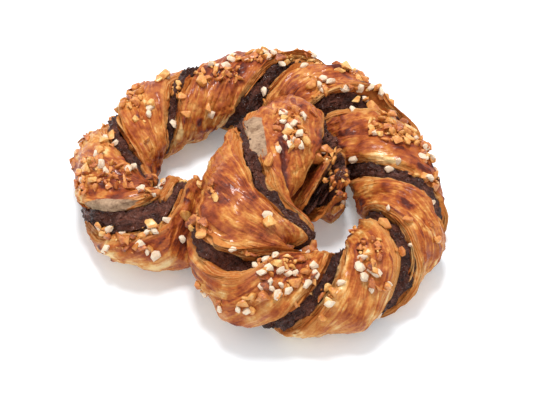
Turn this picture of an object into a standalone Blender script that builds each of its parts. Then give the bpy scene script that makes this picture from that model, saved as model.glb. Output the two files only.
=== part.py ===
"""Chocolate danish pretzel: one twisted rope of laminated dough and chocolate filling, laid in a
ring with its two ends crossing in the middle, and strewn with chopped nuts and sugar nibs.

Metres, +Z up. The pastry rests on z = 0, and the origin is the middle of its footprint.
"""

import math
import random

import bmesh
import bpy
import numpy as np

MM = 0.001

# The rope's centreline, from the end that lies underneath to the end that lies on top. Each row is
# a place along it in millimetres: x, y, height, half width and half height of the rope.
ROUTE = (
    (37, 2, 12.5, 11, 12),
    (29.5, 4, 13.5, 14, 14),
    (20, 4, 12.5, 16, 13),
    (8, 2, 9.5, 17.5, 10),
    (-6, -2.5, 8.5, 17, 9),
    (-23, -10.5, 10.5, 17, 11.5),
    (-40, -17, 13.5, 17.5, 15),
    (-53, -11.5, 13.5, 17.5, 15),
    (-59, 2, 13.5, 17, 15),
    (-57.5, 19, 13.5, 16.5, 15),
    (-47, 35.5, 13.5, 16, 15),
    (-27.5, 49, 13.5, 15.5, 15),
    (-6, 56, 13.5, 16, 15),
    (15, 55, 13.5, 16, 15),
    (34.5, 41, 13.5, 17.5, 15),
    (48.5, 18.5, 13.5, 18, 15),
    (55.5, -10, 13.5, 16.5, 15),
    (46.5, -34, 13.5, 16, 15),
    (29, -46.5, 13.5, 16, 15),
    (10, -48.5, 14.5, 16.5, 15.5),
    (-5, -43.5, 18, 16, 15),
    (-12, -32, 24, 17, 14.5),
    (-8.5, -15, 28, 17, 14),
    (-0.5, 2, 29, 17, 14),
    (8.5, 18, 27, 17, 14),
    (15.5, 30, 22.5, 15.5, 13.5),
    (19.5, 37.5, 17.5, 12, 12),
)
# The middle of the pastry's footprint, in the same x and y. It becomes the origin.
MIDDLE = (-1.75, 3.65)
STATION = 2.7

# How far along the rope, in mm, the filling crosses the crown, and how thick its rim is there.
FILLING_AT_CROWN = (6, 44, 79.5, 127.5, 163, 209.5, 252, 291.5, 319.5, 353, 382.5, 423, 490)
RIM_THICKNESS = (14, 5, 7, 4.5, 3.2, 5, 6, 6, 5, 5, 6.5, 5.5, 3)
CORE_THICKNESS = 2.4
DOUGH_EDGE = 0.86
FILLING_EDGE = 0.81
OUTER_ARC = (-62, -32, 0, 32, 62)
FULLNESS = 0.8
# The gap between the dough and the filling, and how low the filling and the dough may reach.
GAP = 1.0
FILLING_FLOOR = 1.0
DOUGH_FLOOR = 0.0
# Inside a bend the dough starts to crowd at this share of the bend's radius.
CROWDS_FROM = 0.38
# Below this lean an edge isn't shortened to keep it off the floor.
LEAST_LEAN = 0.2

# The rope's rounded ends.
TIP_STATIONS = 3
TIP_OVERLAP = 1.1
TIP_RINGS = 7
TIP_SIDES = 14
TIP_SIZE = 0.96
LEAST_TAPER = 0.05

# Where two runs of the rope lie against each other, the first presses the second flat. A run is
# given by the first and the last of its rows in the route.
PRESS_REACH = 1.4
PRESS_GAP = 0.06
# Below this height in mm a press moves the dough less and less, so that it keeps its flat foot.
PRESS_LIFT = 6
# How far in mm a run reaches past the rope's own end.
PAST_END = 50
RING = (9, 18)
END_ON_TOP = (19, 26)
TIP_ON_TOP = (23, 26)
END_BELOW = (0, 7)
PRESSES = ((RING, TIP_ON_TOP), (RING, END_BELOW), (END_ON_TOP, END_BELOW))

# Slow unevenness of the dough's outside.
WAVES = ((0.022, 31.0, 1.3, 0.4), (0.018, 17.0, -2.1, 2.2), (0.014, 9.5, 3.0, 4.0))

# Chopped nuts and sugar nibs, in patches: middle of the patch along the rope in mm, and round it in
# degrees from the crown to the outside of the ring, half spreads of both, and number of pieces.
TOPPING_PATCHES = (
    (16, 0, 8, 40, 6),
    (98, 15, 10, 50, 12),
    (114, 5, 9, 50, 12),
    (138, 30, 10, 35, 6),
    (176, 30, 12, 35, 7),
    (198, 20, 12, 35, 6),
    (226, 30, 12, 35, 8),
    (250, 35, 14, 30, 9),
    (276, 35, 12, 30, 8),
    (304, 15, 12, 45, 6),
    (338, -10, 12, 40, 8),
    (366, 10, 14, 45, 11),
    (382, -10, 9, 40, 8),
    (414, 0, 10, 40, 4),
    (449, 0, 9, 50, 14),
)
NUT_LENGTH = (2.8, 5.0)
NUT_UNEVENNESS = (0.85, 1.12)
NUT_FLATNESS = 0.72
TOPPING_SINK = 0.12
CLOSEST_TOPPINGS = 3.6
LOWEST_TOPPING = 9
TRIES_FOR_EACH = 12
# Toppings keep this many degrees round the strand away from the filling.
CRUST_SPREAD = 48
# A crust point's outward direction is taken from a point this share of the way in.
INWARD_SHARE = 0.8
SEED = 11

COLLECTION = "chocolate_danish_pretzel"


def clear_scene():
    for obj in list(bpy.data.objects):
        bpy.data.objects.remove(obj, do_unlink=True)


def collection_named(name):
    made = bpy.data.collections.new(name)
    bpy.context.scene.collection.children.link(made)
    return made


def material(name, color, roughness):
    made = bpy.data.materials.new(name)
    made.use_nodes = True
    shader = made.node_tree.nodes["Principled BSDF"]
    shader.inputs["Base Color"].default_value = (*color, 1)
    shader.inputs["Roughness"].default_value = roughness
    return made


def smooth_route(rows, step=1.0, fineness=40):
    """Even distances along a smooth curve through the rows, the rows there, and where each was."""
    rows = np.array(rows, float)
    ends = np.vstack([2 * rows[0] - rows[1], rows, 2 * rows[-1] - rows[-2]])
    t = np.linspace(0, 1, fineness, endpoint=False)[:, None]
    spans = []
    for before, start, end, after in zip(ends, ends[1:], ends[2:], ends[3:]):
        slope = (end - before) / 2
        next_slope = (after - start) / 2
        spans.append(
            start * (2 * t**3 - 3 * t**2 + 1)
            + slope * (t**3 - 2 * t**2 + t)
            + end * (3 * t**2 - 2 * t**3)
            + next_slope * (t**3 - t**2)
        )
    fine = np.vstack(spans + [rows[-1:]])
    along = np.r_[0, np.cumsum(np.linalg.norm(np.diff(fine[:, :2], axis=0), axis=1))]
    even = np.linspace(0, along[-1], int(along[-1] / step) + 1)
    smooth = np.stack([np.interp(even, along, column) for column in fine.T], axis=1)
    smooth[:, :2] -= MIDDLE
    return even, smooth, along[::fineness]


class Rope:
    """The twisted rope: where its sections are, how they turn, and how thick its filling is."""

    def __init__(self):
        self.along, self.rows, self.row_at = smooth_route(ROUTE)
        self.length = self.along[-1]
        forward = np.gradient(self.rows[:, :2], self.along, axis=0)
        forward /= np.linalg.norm(forward, axis=1)[:, None]
        self.outward = np.stack([-forward[:, 1], forward[:, 0]], axis=1)
        heading = np.unwrap(np.arctan2(forward[:, 1], forward[:, 0]))
        bend = np.abs(np.gradient(heading, self.along))
        self.bend_radius = 1 / np.maximum(np.convolve(bend, np.ones(9) / 9, "same"), 0.002)

    def at(self, s, column):
        return np.interp(s, self.along, self.rows[:, column])

    def side(self, s):
        across = np.stack([np.interp(s, self.along, c) for c in self.outward.T], axis=-1)
        return across / np.linalg.norm(across, axis=-1, keepdims=True)

    def turn(self, s):
        """How far the filling leans from upright to the outside of the ring, in radians."""
        marks = np.arange(len(FILLING_AT_CROWN))
        return math.pi * np.interp(s, FILLING_AT_CROWN, marks)

    def rim(self, s):
        return np.interp(s, FILLING_AT_CROWN, RIM_THICKNESS) / 2

    def place(self, s, p, q, floor=DOUGH_FLOOR):
        """World points for p, across the layers, and q, along them, in shares of the half width."""
        s, p, q = np.broadcast_arrays(*(np.asarray(v, float) for v in (s, p, q)))
        turn = self.turn(s)
        wide = self.at(s, 3)
        high = self.at(s, 4)
        middle = self.at(s, 2)
        lean_p = -np.sin(turn)
        lean_q = np.cos(turn)
        # An edge that would reach below the floor is cut shorter along the layers.
        lowest = middle + high * (p * lean_p + q * lean_q)
        leans = np.abs(lean_q) >= LEAST_LEAN
        room = (floor - middle - high * p * lean_p) / np.where(leans, high * lean_q, 1)
        short = (lowest < floor) & leans & (np.sign(room) == np.sign(q))
        q = np.where(short, np.sign(q) * np.minimum(np.abs(q), np.abs(room)), q)
        across = wide * (p * np.cos(turn) + q * np.sin(turn))
        # Inside a bend the dough crowds together, and never past the middle of the bend.
        free = CROWDS_FROM * np.interp(s, self.along, self.bend_radius)
        crowded = -free * (2 - np.exp(-np.maximum(-across - free, 0) / free))
        across = np.where(across < -free, crowded, across)
        height = np.maximum(middle + high * (p * lean_p + q * lean_q), floor)
        flat = np.stack([self.at(s, 0), self.at(s, 1)], axis=-1) + self.side(s) * across[..., None]
        return np.concatenate([flat, height[..., None]], axis=-1)

    def within(self, s, run):
        """Whether s lies in a run, with some room past the rope's own ends."""
        first = self.row_at[run[0]] - (PAST_END if run[0] == 0 else 0)
        last = self.row_at[run[1]] + (PAST_END if run[1] == len(ROUTE) - 1 else 0)
        return (s >= first) & (s <= last)

    def offsets(self, points, run):
        """How far points lie from the middle of a run of the rope, in shares of its half size."""
        chosen = self.within(self.along, run)
        rows = self.rows[chosen]
        across = self.outward[chosen]
        nearest = np.linalg.norm(points[:, None, :2] - rows[None, :, :2], axis=2).argmin(axis=1)
        near = rows[nearest]
        flat = points[:, :2] - near[:, :2]
        size = np.maximum(near[:, 3], 1)
        sideways = np.einsum("ij,ij->i", flat, across[nearest]) / size
        lengthways = np.sqrt(np.maximum((flat**2).sum(axis=1) / size**2 - sideways**2, 0))
        upward = (points[:, 2] - near[:, 2]) / near[:, 4]
        return near, np.sqrt(sideways**2 + lengthways**2 + upward**2)

    def taper(self, s):
        """The rope's size at s as a share, which only falls at its two rounded ends."""
        tip = stations(self, 0)[TIP_STATIONS]
        reach = np.maximum(0, tip - np.minimum(s, self.length - s))
        return np.sqrt(np.maximum(1 - (reach / tip) ** 2, LEAST_TAPER))

    def press(self, points, s):
        """Presses the runs that lie against another run flat against it."""
        s = np.broadcast_to(s, points.shape[:-1]).reshape(-1)
        flat = points.reshape(-1, 3).copy()
        for pressing, pressed in PRESSES:
            chosen = np.flatnonzero(self.within(s, pressed))
            if not len(chosen):
                continue
            near, away = self.offsets(flat[chosen], pressing)
            closest = self.closest[pressing, pressed]
            if closest >= 1 + PRESS_GAP:
                continue
            share = (PRESS_REACH - 1 - PRESS_GAP) / (PRESS_REACH - closest)
            wanted = 1 + PRESS_GAP + (away - closest) * share
            factor = np.where(away < PRESS_REACH, wanted / np.maximum(away, 0.1), 1)
            moved = near[:, :3] + (flat[chosen] - near[:, :3]) * factor[:, None]
            # What rests on the floor stays there.
            lift = np.clip(flat[chosen][:, 2] / PRESS_LIFT, 0, 1)
            moved[:, 2] = flat[chosen][:, 2] + (moved[:, 2] - flat[chosen][:, 2]) * lift
            flat[chosen] = moved
        return flat.reshape(points.shape)

    def measure_presses(self):
        """The closest that each pressed run would come to the run that presses it."""
        s = np.arange(0, self.length, STATION)[:, None]
        round_it = np.radians(np.arange(0, 360, 15))[None, :]
        size = self.taper(s)
        skin = self.place(s, size * np.cos(round_it), size * np.sin(round_it)).reshape(-1, 3)
        s = np.repeat(s[:, 0], round_it.shape[1])
        self.closest = {}
        for pressing, pressed in PRESSES:
            chosen = self.within(s, pressed)
            self.closest[pressing, pressed] = self.offsets(skin[chosen], pressing)[1].min()


def unevenness(s, round_it):
    return 1 + sum(
        size * np.sin(2 * math.pi * s / length + turns * round_it + start)
        for size, length, turns, start in WAVES
    )


def dough_outline(rope, s, half):
    """One dough strand's section: its cut edges and its face on the filling, then its crust."""
    wide = float(rope.at(s, 3))
    gap = GAP / wide
    rim = float(rope.rim(s)) / wide + gap
    core = CORE_THICKNESS / 2 / wide + gap
    inner = [(rim, DOUGH_EDGE), (core, 0.0), (rim, -DOUGH_EDGE)]
    outer = []
    for degrees in OUTER_ARC:
        angle = math.radians(degrees)
        swell = float(unevenness(s, angle + (0 if half > 0 else math.pi)))
        across = rim + (1 - rim) * math.cos(angle) ** FULLNESS
        outer.append((across * swell, DOUGH_EDGE * math.sin(angle) * swell))
    outline = [(half * p, q) for p, q in inner + outer]
    return outline if half > 0 else outline[::-1]


def filling_outline(rope, s):
    wide = float(rope.at(s, 3))
    rim = float(rope.rim(s)) / wide
    core = CORE_THICKNESS / 2 / wide
    one_side = [(rim, FILLING_EDGE), (core, 0.0), (rim, -FILLING_EDGE)]
    return one_side + [(-p, q) for p, q in reversed(one_side)]


def loft(name, rings, owner, finish):
    """A closed solid through rings of points given in millimetres."""
    mesh = bmesh.new()
    loops = [[mesh.verts.new(point * MM) for point in ring] for ring in rings]
    sides = len(loops[0])
    for near, far in zip(loops, loops[1:]):
        for i in range(sides):
            j = (i + 1) % sides
            mesh.faces.new((near[i], near[j], far[j]))
            mesh.faces.new((near[i], far[j], far[i]))
    mesh.faces.new(loops[0])
    mesh.faces.new(loops[-1])
    bmesh.ops.recalc_face_normals(mesh, faces=mesh.faces)
    bmesh.ops.triangulate(mesh, faces=mesh.faces)
    data = bpy.data.meshes.new(name)
    mesh.to_mesh(data)
    mesh.free()
    data.materials.append(finish)
    made = bpy.data.objects.new(name, data)
    owner.objects.link(made)
    return made


def stations(rope, left_out):
    """Places along the rope, without the given number of them at each end."""
    count = round(rope.length / STATION)
    return np.linspace(0, rope.length, count + 1)[left_out : count + 1 - left_out]


def strand(rope, half, owner, finish):
    rings = []
    for s in stations(rope, TIP_STATIONS - 1):
        outline = np.array(dough_outline(rope, s, half))
        ring = rope.place(s, outline[:, 0], outline[:, 1])
        rings.append(rope.press(ring, s))
    return loft("strand", rings, owner, finish)


def filling(rope, owner, finish):
    rings = []
    for s in stations(rope, TIP_STATIONS + 1)[:-1]:
        outline = np.array(filling_outline(rope, s))
        ring = rope.place(s, outline[:, 0], outline[:, 1], floor=FILLING_FLOOR)
        rings.append(rope.press(ring, s))
    return loft("chocolate_filling", rings, owner, finish)


def rope_end(rope, first, owner, finish):
    """The rounded end where the two dough strands are pinched together."""
    rings = []
    round_it = np.linspace(0, 2 * math.pi, TIP_SIDES, endpoint=False)
    tip = stations(rope, 0)[TIP_STATIONS]
    for reach in np.linspace(-TIP_OVERLAP, TIP_SIZE * tip, TIP_RINGS):
        s = tip - reach if first else rope.length - tip + reach
        scale = TIP_SIZE * float(rope.taper(s))
        ring = rope.place(s, scale * np.cos(round_it), scale * np.sin(round_it))
        rings.append(rope.press(ring, s))
    return loft("rope_end", rings, owner, finish)


def crust_point(rope, s, degrees):
    """The crust's surface and its outward direction, or None where the filling shows."""
    lean = math.radians(degrees)
    turn = float(rope.turn(s))
    across = math.sin(lean) * math.cos(turn) - math.cos(lean) * math.sin(turn)
    along_layers = math.sin(lean) * math.sin(turn) + math.cos(lean) * math.cos(turn)
    angle = math.atan2(along_layers, abs(across))
    if abs(angle) > math.radians(CRUST_SPREAD):
        return None
    wide = float(rope.at(s, 3))
    half = 1 if across > 0 else -1
    rim = float(rope.rim(s)) / wide + GAP / wide
    swell = float(unevenness(s, angle + (0 if half > 0 else math.pi)))
    p = half * (rim + (1 - rim) * math.cos(angle) ** FULLNESS) * swell
    q = DOUGH_EDGE * math.sin(angle) * swell
    surface = rope.press(rope.place(s, p, q), np.array(s))
    inside = rope.press(rope.place(s, p * INWARD_SHARE, q * INWARD_SHARE), np.array(s))
    outward = surface - inside
    return surface, outward / np.linalg.norm(outward)


def topping_places(rope, rng):
    """Places for the nuts and nibs, patch by patch, none too near another."""
    places = []
    for along, round_it, half_along, half_round, pieces in TOPPING_PATCHES:
        made = 0
        for _ in range(pieces * TRIES_FOR_EACH):
            if made == pieces:
                break
            s = along + half_along * rng.uniform(-1, 1)
            found = crust_point(rope, s, round_it + half_round * rng.uniform(-1, 1))
            if found is None or found[0][2] < LOWEST_TOPPING:
                continue
            if any(np.linalg.norm(found[0] - other[0]) < CLOSEST_TOPPINGS for other in places):
                continue
            places.append(found)
            made += 1
    return places


def topping(place, rng, owner, finish):
    """One chopped piece: a small uneven block, partly sunk in the crust."""
    surface, outward = place
    size = rng.uniform(*NUT_LENGTH)
    centre = surface + outward * size * TOPPING_SINK
    bpy.ops.mesh.primitive_ico_sphere_add(subdivisions=1, radius=size * MM / 2)
    piece = bpy.context.object
    piece.name = "topping"
    for corner in piece.data.vertices:
        corner.co *= rng.uniform(*NUT_UNEVENNESS)
        corner.co.z *= NUT_FLATNESS
    piece.rotation_euler = [rng.uniform(0, 2 * math.pi) for _ in range(3)]
    piece.location = centre * MM
    piece.data.materials.append(finish)
    for other in list(piece.users_collection):
        other.objects.unlink(piece)
    owner.objects.link(piece)
    return piece


def join_all(body, others, solver):
    """Joins every object of a collection to the body with one Boolean, then removes them."""
    union = body.modifiers.new("join", "BOOLEAN")
    union.operation = "UNION"
    union.operand_type = "COLLECTION"
    union.collection = others
    union.solver = solver
    bpy.context.view_layer.update()
    graph = bpy.context.evaluated_depsgraph_get()
    joined = bpy.data.meshes.new_from_object(body.evaluated_get(graph))
    body.modifiers.clear()
    body.data = joined
    for obj in list(others.objects):
        bpy.data.objects.remove(obj, do_unlink=True)
    bpy.data.collections.remove(others)


def main():
    clear_scene()
    rng = random.Random(SEED)
    parts = collection_named(COLLECTION)
    pieces = collection_named("to_join")
    crust = material("baked_dough", (0.52, 0.22, 0.065), 0.4)
    chocolate = material("chocolate", (0.035, 0.014, 0.008), 0.5)
    rope = Rope()
    rope.measure_presses()

    pastry = strand(rope, 1, parts, crust)
    pastry.name = "pastry"
    strand(rope, -1, pieces, crust)
    rope_end(rope, True, pieces, crust)
    rope_end(rope, False, pieces, crust)
    for place in topping_places(rope, rng):
        topping(place, rng, pieces, crust)
    join_all(pastry, pieces, "MANIFOLD")
    filling(rope, parts, chocolate)


main()
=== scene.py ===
"""Chocolate danish pretzel: the baked dough, the chocolate, the nuts and the sugar.

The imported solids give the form. Here the two dough strands and the filling are built again from
the same route, fine enough for flaky edges, wrinkles and crumbs, and the toppings lie on them.
Lengths are in millimetres, apart from the finished meshes, the camera and the light.
"""

import itertools
import math
import random

import bmesh
import bpy
import numpy as np
from bpy.props import FloatProperty, FloatVectorProperty, IntProperty, PointerProperty
from mathutils import Matrix, Vector
from mathutils.bvhtree import BVHTree


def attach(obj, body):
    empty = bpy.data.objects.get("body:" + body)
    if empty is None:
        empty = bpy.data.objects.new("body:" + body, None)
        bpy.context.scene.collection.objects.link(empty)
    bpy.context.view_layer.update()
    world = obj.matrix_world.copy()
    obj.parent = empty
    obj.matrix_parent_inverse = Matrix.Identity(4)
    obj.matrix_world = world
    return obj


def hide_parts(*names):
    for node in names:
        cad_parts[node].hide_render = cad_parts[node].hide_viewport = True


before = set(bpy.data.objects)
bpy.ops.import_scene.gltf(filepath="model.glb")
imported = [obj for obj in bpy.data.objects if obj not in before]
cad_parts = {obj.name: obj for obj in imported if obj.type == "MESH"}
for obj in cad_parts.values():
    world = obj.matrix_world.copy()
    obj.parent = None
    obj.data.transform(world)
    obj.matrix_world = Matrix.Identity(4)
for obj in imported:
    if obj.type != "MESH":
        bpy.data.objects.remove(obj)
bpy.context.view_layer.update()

bl_info = {
    "name": "Chocolate danish pretzel",
    "version": (1, 0, 0),
    "blender": (4, 5, 0),
    "location": "View3D > Sidebar > Pretzel",
    "description": "Builds the looks of a twisted danish with chocolate, nuts and sugar",
    "category": "Add Mesh",
}

MM = 0.001

# The rope's centreline, from the end that lies underneath to the end that lies on top. Each row is
# a place along it: x, y, height, half width and half height of the rope.
X, Y, HEIGHT, HALF_WIDTH, HALF_HEIGHT = range(5)
ROUTE = (
    (37, 2, 12.5, 11, 12),
    (29.5, 4, 13.5, 14, 14),
    (20, 4, 12.5, 16, 13),
    (8, 2, 9.5, 17.5, 10),
    (-6, -2.5, 8.5, 17, 9),
    (-23, -10.5, 10.5, 17, 11.5),
    (-40, -17, 13.5, 17.5, 15),
    (-53, -11.5, 13.5, 17.5, 15),
    (-59, 2, 13.5, 17, 15),
    (-57.5, 19, 13.5, 16.5, 15),
    (-47, 35.5, 13.5, 16, 15),
    (-27.5, 49, 13.5, 15.5, 15),
    (-6, 56, 13.5, 16, 15),
    (15, 55, 13.5, 16, 15),
    (34.5, 41, 13.5, 17.5, 15),
    (48.5, 18.5, 13.5, 18, 15),
    (55.5, -10, 13.5, 16.5, 15),
    (46.5, -34, 13.5, 16, 15),
    (29, -46.5, 13.5, 16, 15),
    (10, -48.5, 14.5, 16.5, 15.5),
    (-5, -43.5, 18, 16, 15),
    (-12, -32, 24, 17, 14.5),
    (-8.5, -15, 28, 17, 14),
    (-0.5, 2, 29, 17, 14),
    (8.5, 18, 27, 17, 14),
    (15.5, 30, 22.5, 15.5, 13.5),
    (19.5, 37.5, 17.5, 12, 12),
)
# The middle of the pastry's footprint, in the same x and y. It is the origin.
MIDDLE = (-1.75, 3.65)

# How far along the rope the filling crosses the crown, and how thick its rim is there.
FILLING_AT_CROWN = (6, 44, 79.5, 127.5, 163, 209, 248, 287, 314, 347, 377.5, 422, 490)
RIM_THICKNESS = (14, 5, 7.5, 4.8, 4, 6, 6.5, 7, 6.5, 6.8, 7, 5.5, 3)
# How thick the filling is inside, and how far from the middle its rim and the dough's cut edges lie,
# as shares of the rope's half size.
CORE_THICKNESS = 2.4
FILLING_EDGE = 0.81
DOUGH_EDGE = 0.86
# The power of the cosine that bends the crust over a strand. A smaller one makes it fuller.
FULLNESS = 0.8
# How far a strand stays from the filling's edge. The filling takes up half of it.
GAP = 1.0
# Inside a bend the dough crowds together from this share of the bend's radius on.
CROWDS_FROM = 0.38
# How upright the layers have to stand for their edge to be cut shorter at the floor.
LEAST_LEAN = 0.2
# The length over which each end of the rope rounds off.
TIP_LENGTH = 8.1

# Where a cut edge of the dough laps over the filling: middle and half length along the rope, strand
# (1 or -1), edge (1 or -1), and the share of the filling it covers, below 0 where it draws back.
LAPS = (
    (437, 17, 1, -1, 0.85),
    (452, 17, -1, -1, -1.20),
    (375, 14, 1, 1, -0.25),
    (381, 16, -1, 1, 0.22),
    (66, 16, -1, 1, 0.35),
    (16, 21, 1, 1, -0.35),
    (453, 12, 1, -1, 0.6),
    (460, 13, -1, -1, -1.0),
    (91, 13, -1, 1, -0.42),
    (143, 11, 1, -1, -0.30),
    (143, 11, -1, -1, -0.30),
    (112, 8, 1, -1, 0.20),
    (188, 16, 1, -1, -1.2),
    (304, 13, -1, -1, -1.0),
    (328, 14, 1, 1, -0.8),
    (330, 13, -1, 1, 0.3),
    (268, 13, -1, 1, 0.5),
    (214, 14, -1, -1, -0.35),
    (252, 27, 1, 1, -1.35),
    (246, 14, -1, 1, 0.35),
)
# Bare, unglazed dough beside the filling. The corners are x and the height on a plane that leans
# back, and a patch lies only where the dough faces that plane.
RIGHT_BARE_CORNERS = (
    (-8, 33.3), (-0.6, 35.6), (1.5, 35.4), (2.6, 30.5), (3.4, 25.3), (3.9, 20.4), (1.4, 19.2),
    (-6, 25.6), (-9, 30.6),
)
LEFT_BARE_CORNERS = (
    (-67.5, 1.7), (-62, 3.3), (-57, 3.6), (-46, 2.8), (-48, 0.6), (-55.5, -2.7), (-59, -2.6),
    (-63.5, -1.7), (-67.5, 0.5),
)
# Strand, first and last distance along the rope, and corners.
BARE_PATCHES = ((-1, 82, 122, LEFT_BARE_CORNERS), (1, 415, 475, RIGHT_BARE_CORNERS))
# How much of y and of z goes into the height on that plane, and the least cosine at which the dough
# faces it.
PATCH_LEAN = (0.788, 0.616)
LEAST_FACING = -0.2
# Layers that came apart along a cut edge: first and last distance along the rope, strand, edge,
# how many, and how far they reach over the filling as a share.
OPEN_LAYERS = (
    (357, 397, -1, 1, 5, 0.16),
    (10, 40, 1, 1, 5, 0.10),
    (10, 34, -1, 1, 4, 0.10),
    (196, 226, -1, -1, 4, 0.06),
    (200, 222, 1, -1, 3, 0.06),
    (334, 360, -1, -1, 3, 0.05),
    (336, 362, 1, -1, 3, 0.05),
    (300, 327, 1, 1, 3, 0.05),
    (248, 272, -1, 1, 3, 0.04),
    (116, 140, 1, -1, 3, 0.05),
    (150, 176, -1, 1, 3, 0.05),
)
# Where the filling lies deep between the strands: middle and half length along the rope, edge, and
# depth.
DEEP_PLACES = ((377, 12, 1, 4.0), (216, 12, -1, 2.6), (258, 22, 1, 3.2), (15, 19, 1, 3.2))
# How much the cut edges wander, as a share of the filling's thickness.
EDGE_WANDER = 0.30
# Places where the soft dough was drawn out while it was twisted: x, y, z, reach, and the way.
PULLS = (
    (5, -30, 27, 17, 10, -3.5, 0),
    (13, -33, 26, 13, 7, -1.5, 0),
    (-34, -5, 17, 13, 2, 4.5, 2.5),
    (20, -15, 7, 13, -0.5, 3.6, 1.2),
    (-5, 14, 33, 12, -3.2, 0.4, 0.4),
    (-1, 25, 33, 8, 2.2, -2.0, -1.2),
    (-24, -18, 28, 13, 3.4, 0.5, 0),
    (22, -14, 6, 12, -0.5, 2.0, 2.0),
    (-8, -60, 12, 16, -2.2, -2.8, 0),
    (42, -62, 12, 18, 1.2, -2.4, 0),
    (70, -30, 14, 14, 2.8, -1.0, 0),
    (58, 38, 18, 18, -2.4, -1.8, 0),
    (-64, 31, 18, 16, 2.2, -1.2, 0),
    (-74, -4, 18, 14, 1.8, 0, 0),
)
# A groove along the head of the rope's upper end, painted dark as shade: its points, width and depth.
GROOVE = ((9.0, 2.0, 41.0), (9.9, -3.3, 40.4), (11.0, -14.5, 35.9), (12.4, -19.0, 29.0))
GROOVE_WIDTH = 1.5
GROOVE_DEPTH = 1.3

# Folded sheets that stand in the filling: first and last distance along the rope, share across the
# layers, edge, and how far they stand out of the filling as a share.
CHOCOLATE_FOLDS = (
    (2, 17, 0.34, 1, 0.12),
    (5, 30, 0.16, 1, 0.17),
    (2, 22, -0.02, 1, 0.13),
    (9, 36, -0.17, 1, 0.13),
    (3, 19, -0.33, 1, 0.15),
    (14, 42, 0.05, 1, 0.10),
    (22, 38, -0.10, 1, 0.14),
)
# Chocolate that ran together beside the rope's upper end: x, y, z and radius.
CHOCOLATE_SPILL = (
    (26.5, 18.5, 21, 3.2),
    (28.5, 15, 22, 3.4),
    (29.2, 11, 22, 3.4),
    (30.0, 7, 23, 3.2),
    (31.8, 3, 23.5, 2.8),
    (33.6, -1, 23, 2.4),
    (26.2, 13.5, 25, 2.8),
    (27.2, 8.5, 25, 2.6),
    (24.9, 17.0, 25, 2.4),
)
# The pieces that the nuts and the sugar lie on.
STRANDS = {"dough_strand_a": 1, "dough_strand_b": -1}
UNDER_TOPPINGS = (*STRANDS, "chocolate_layer", "chocolate_folds", "chocolate_spill")
# First and last distance along the rope of the patches out of sight, and the way between them.
BACK_PATCHES = (112, 292, 9)
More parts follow.
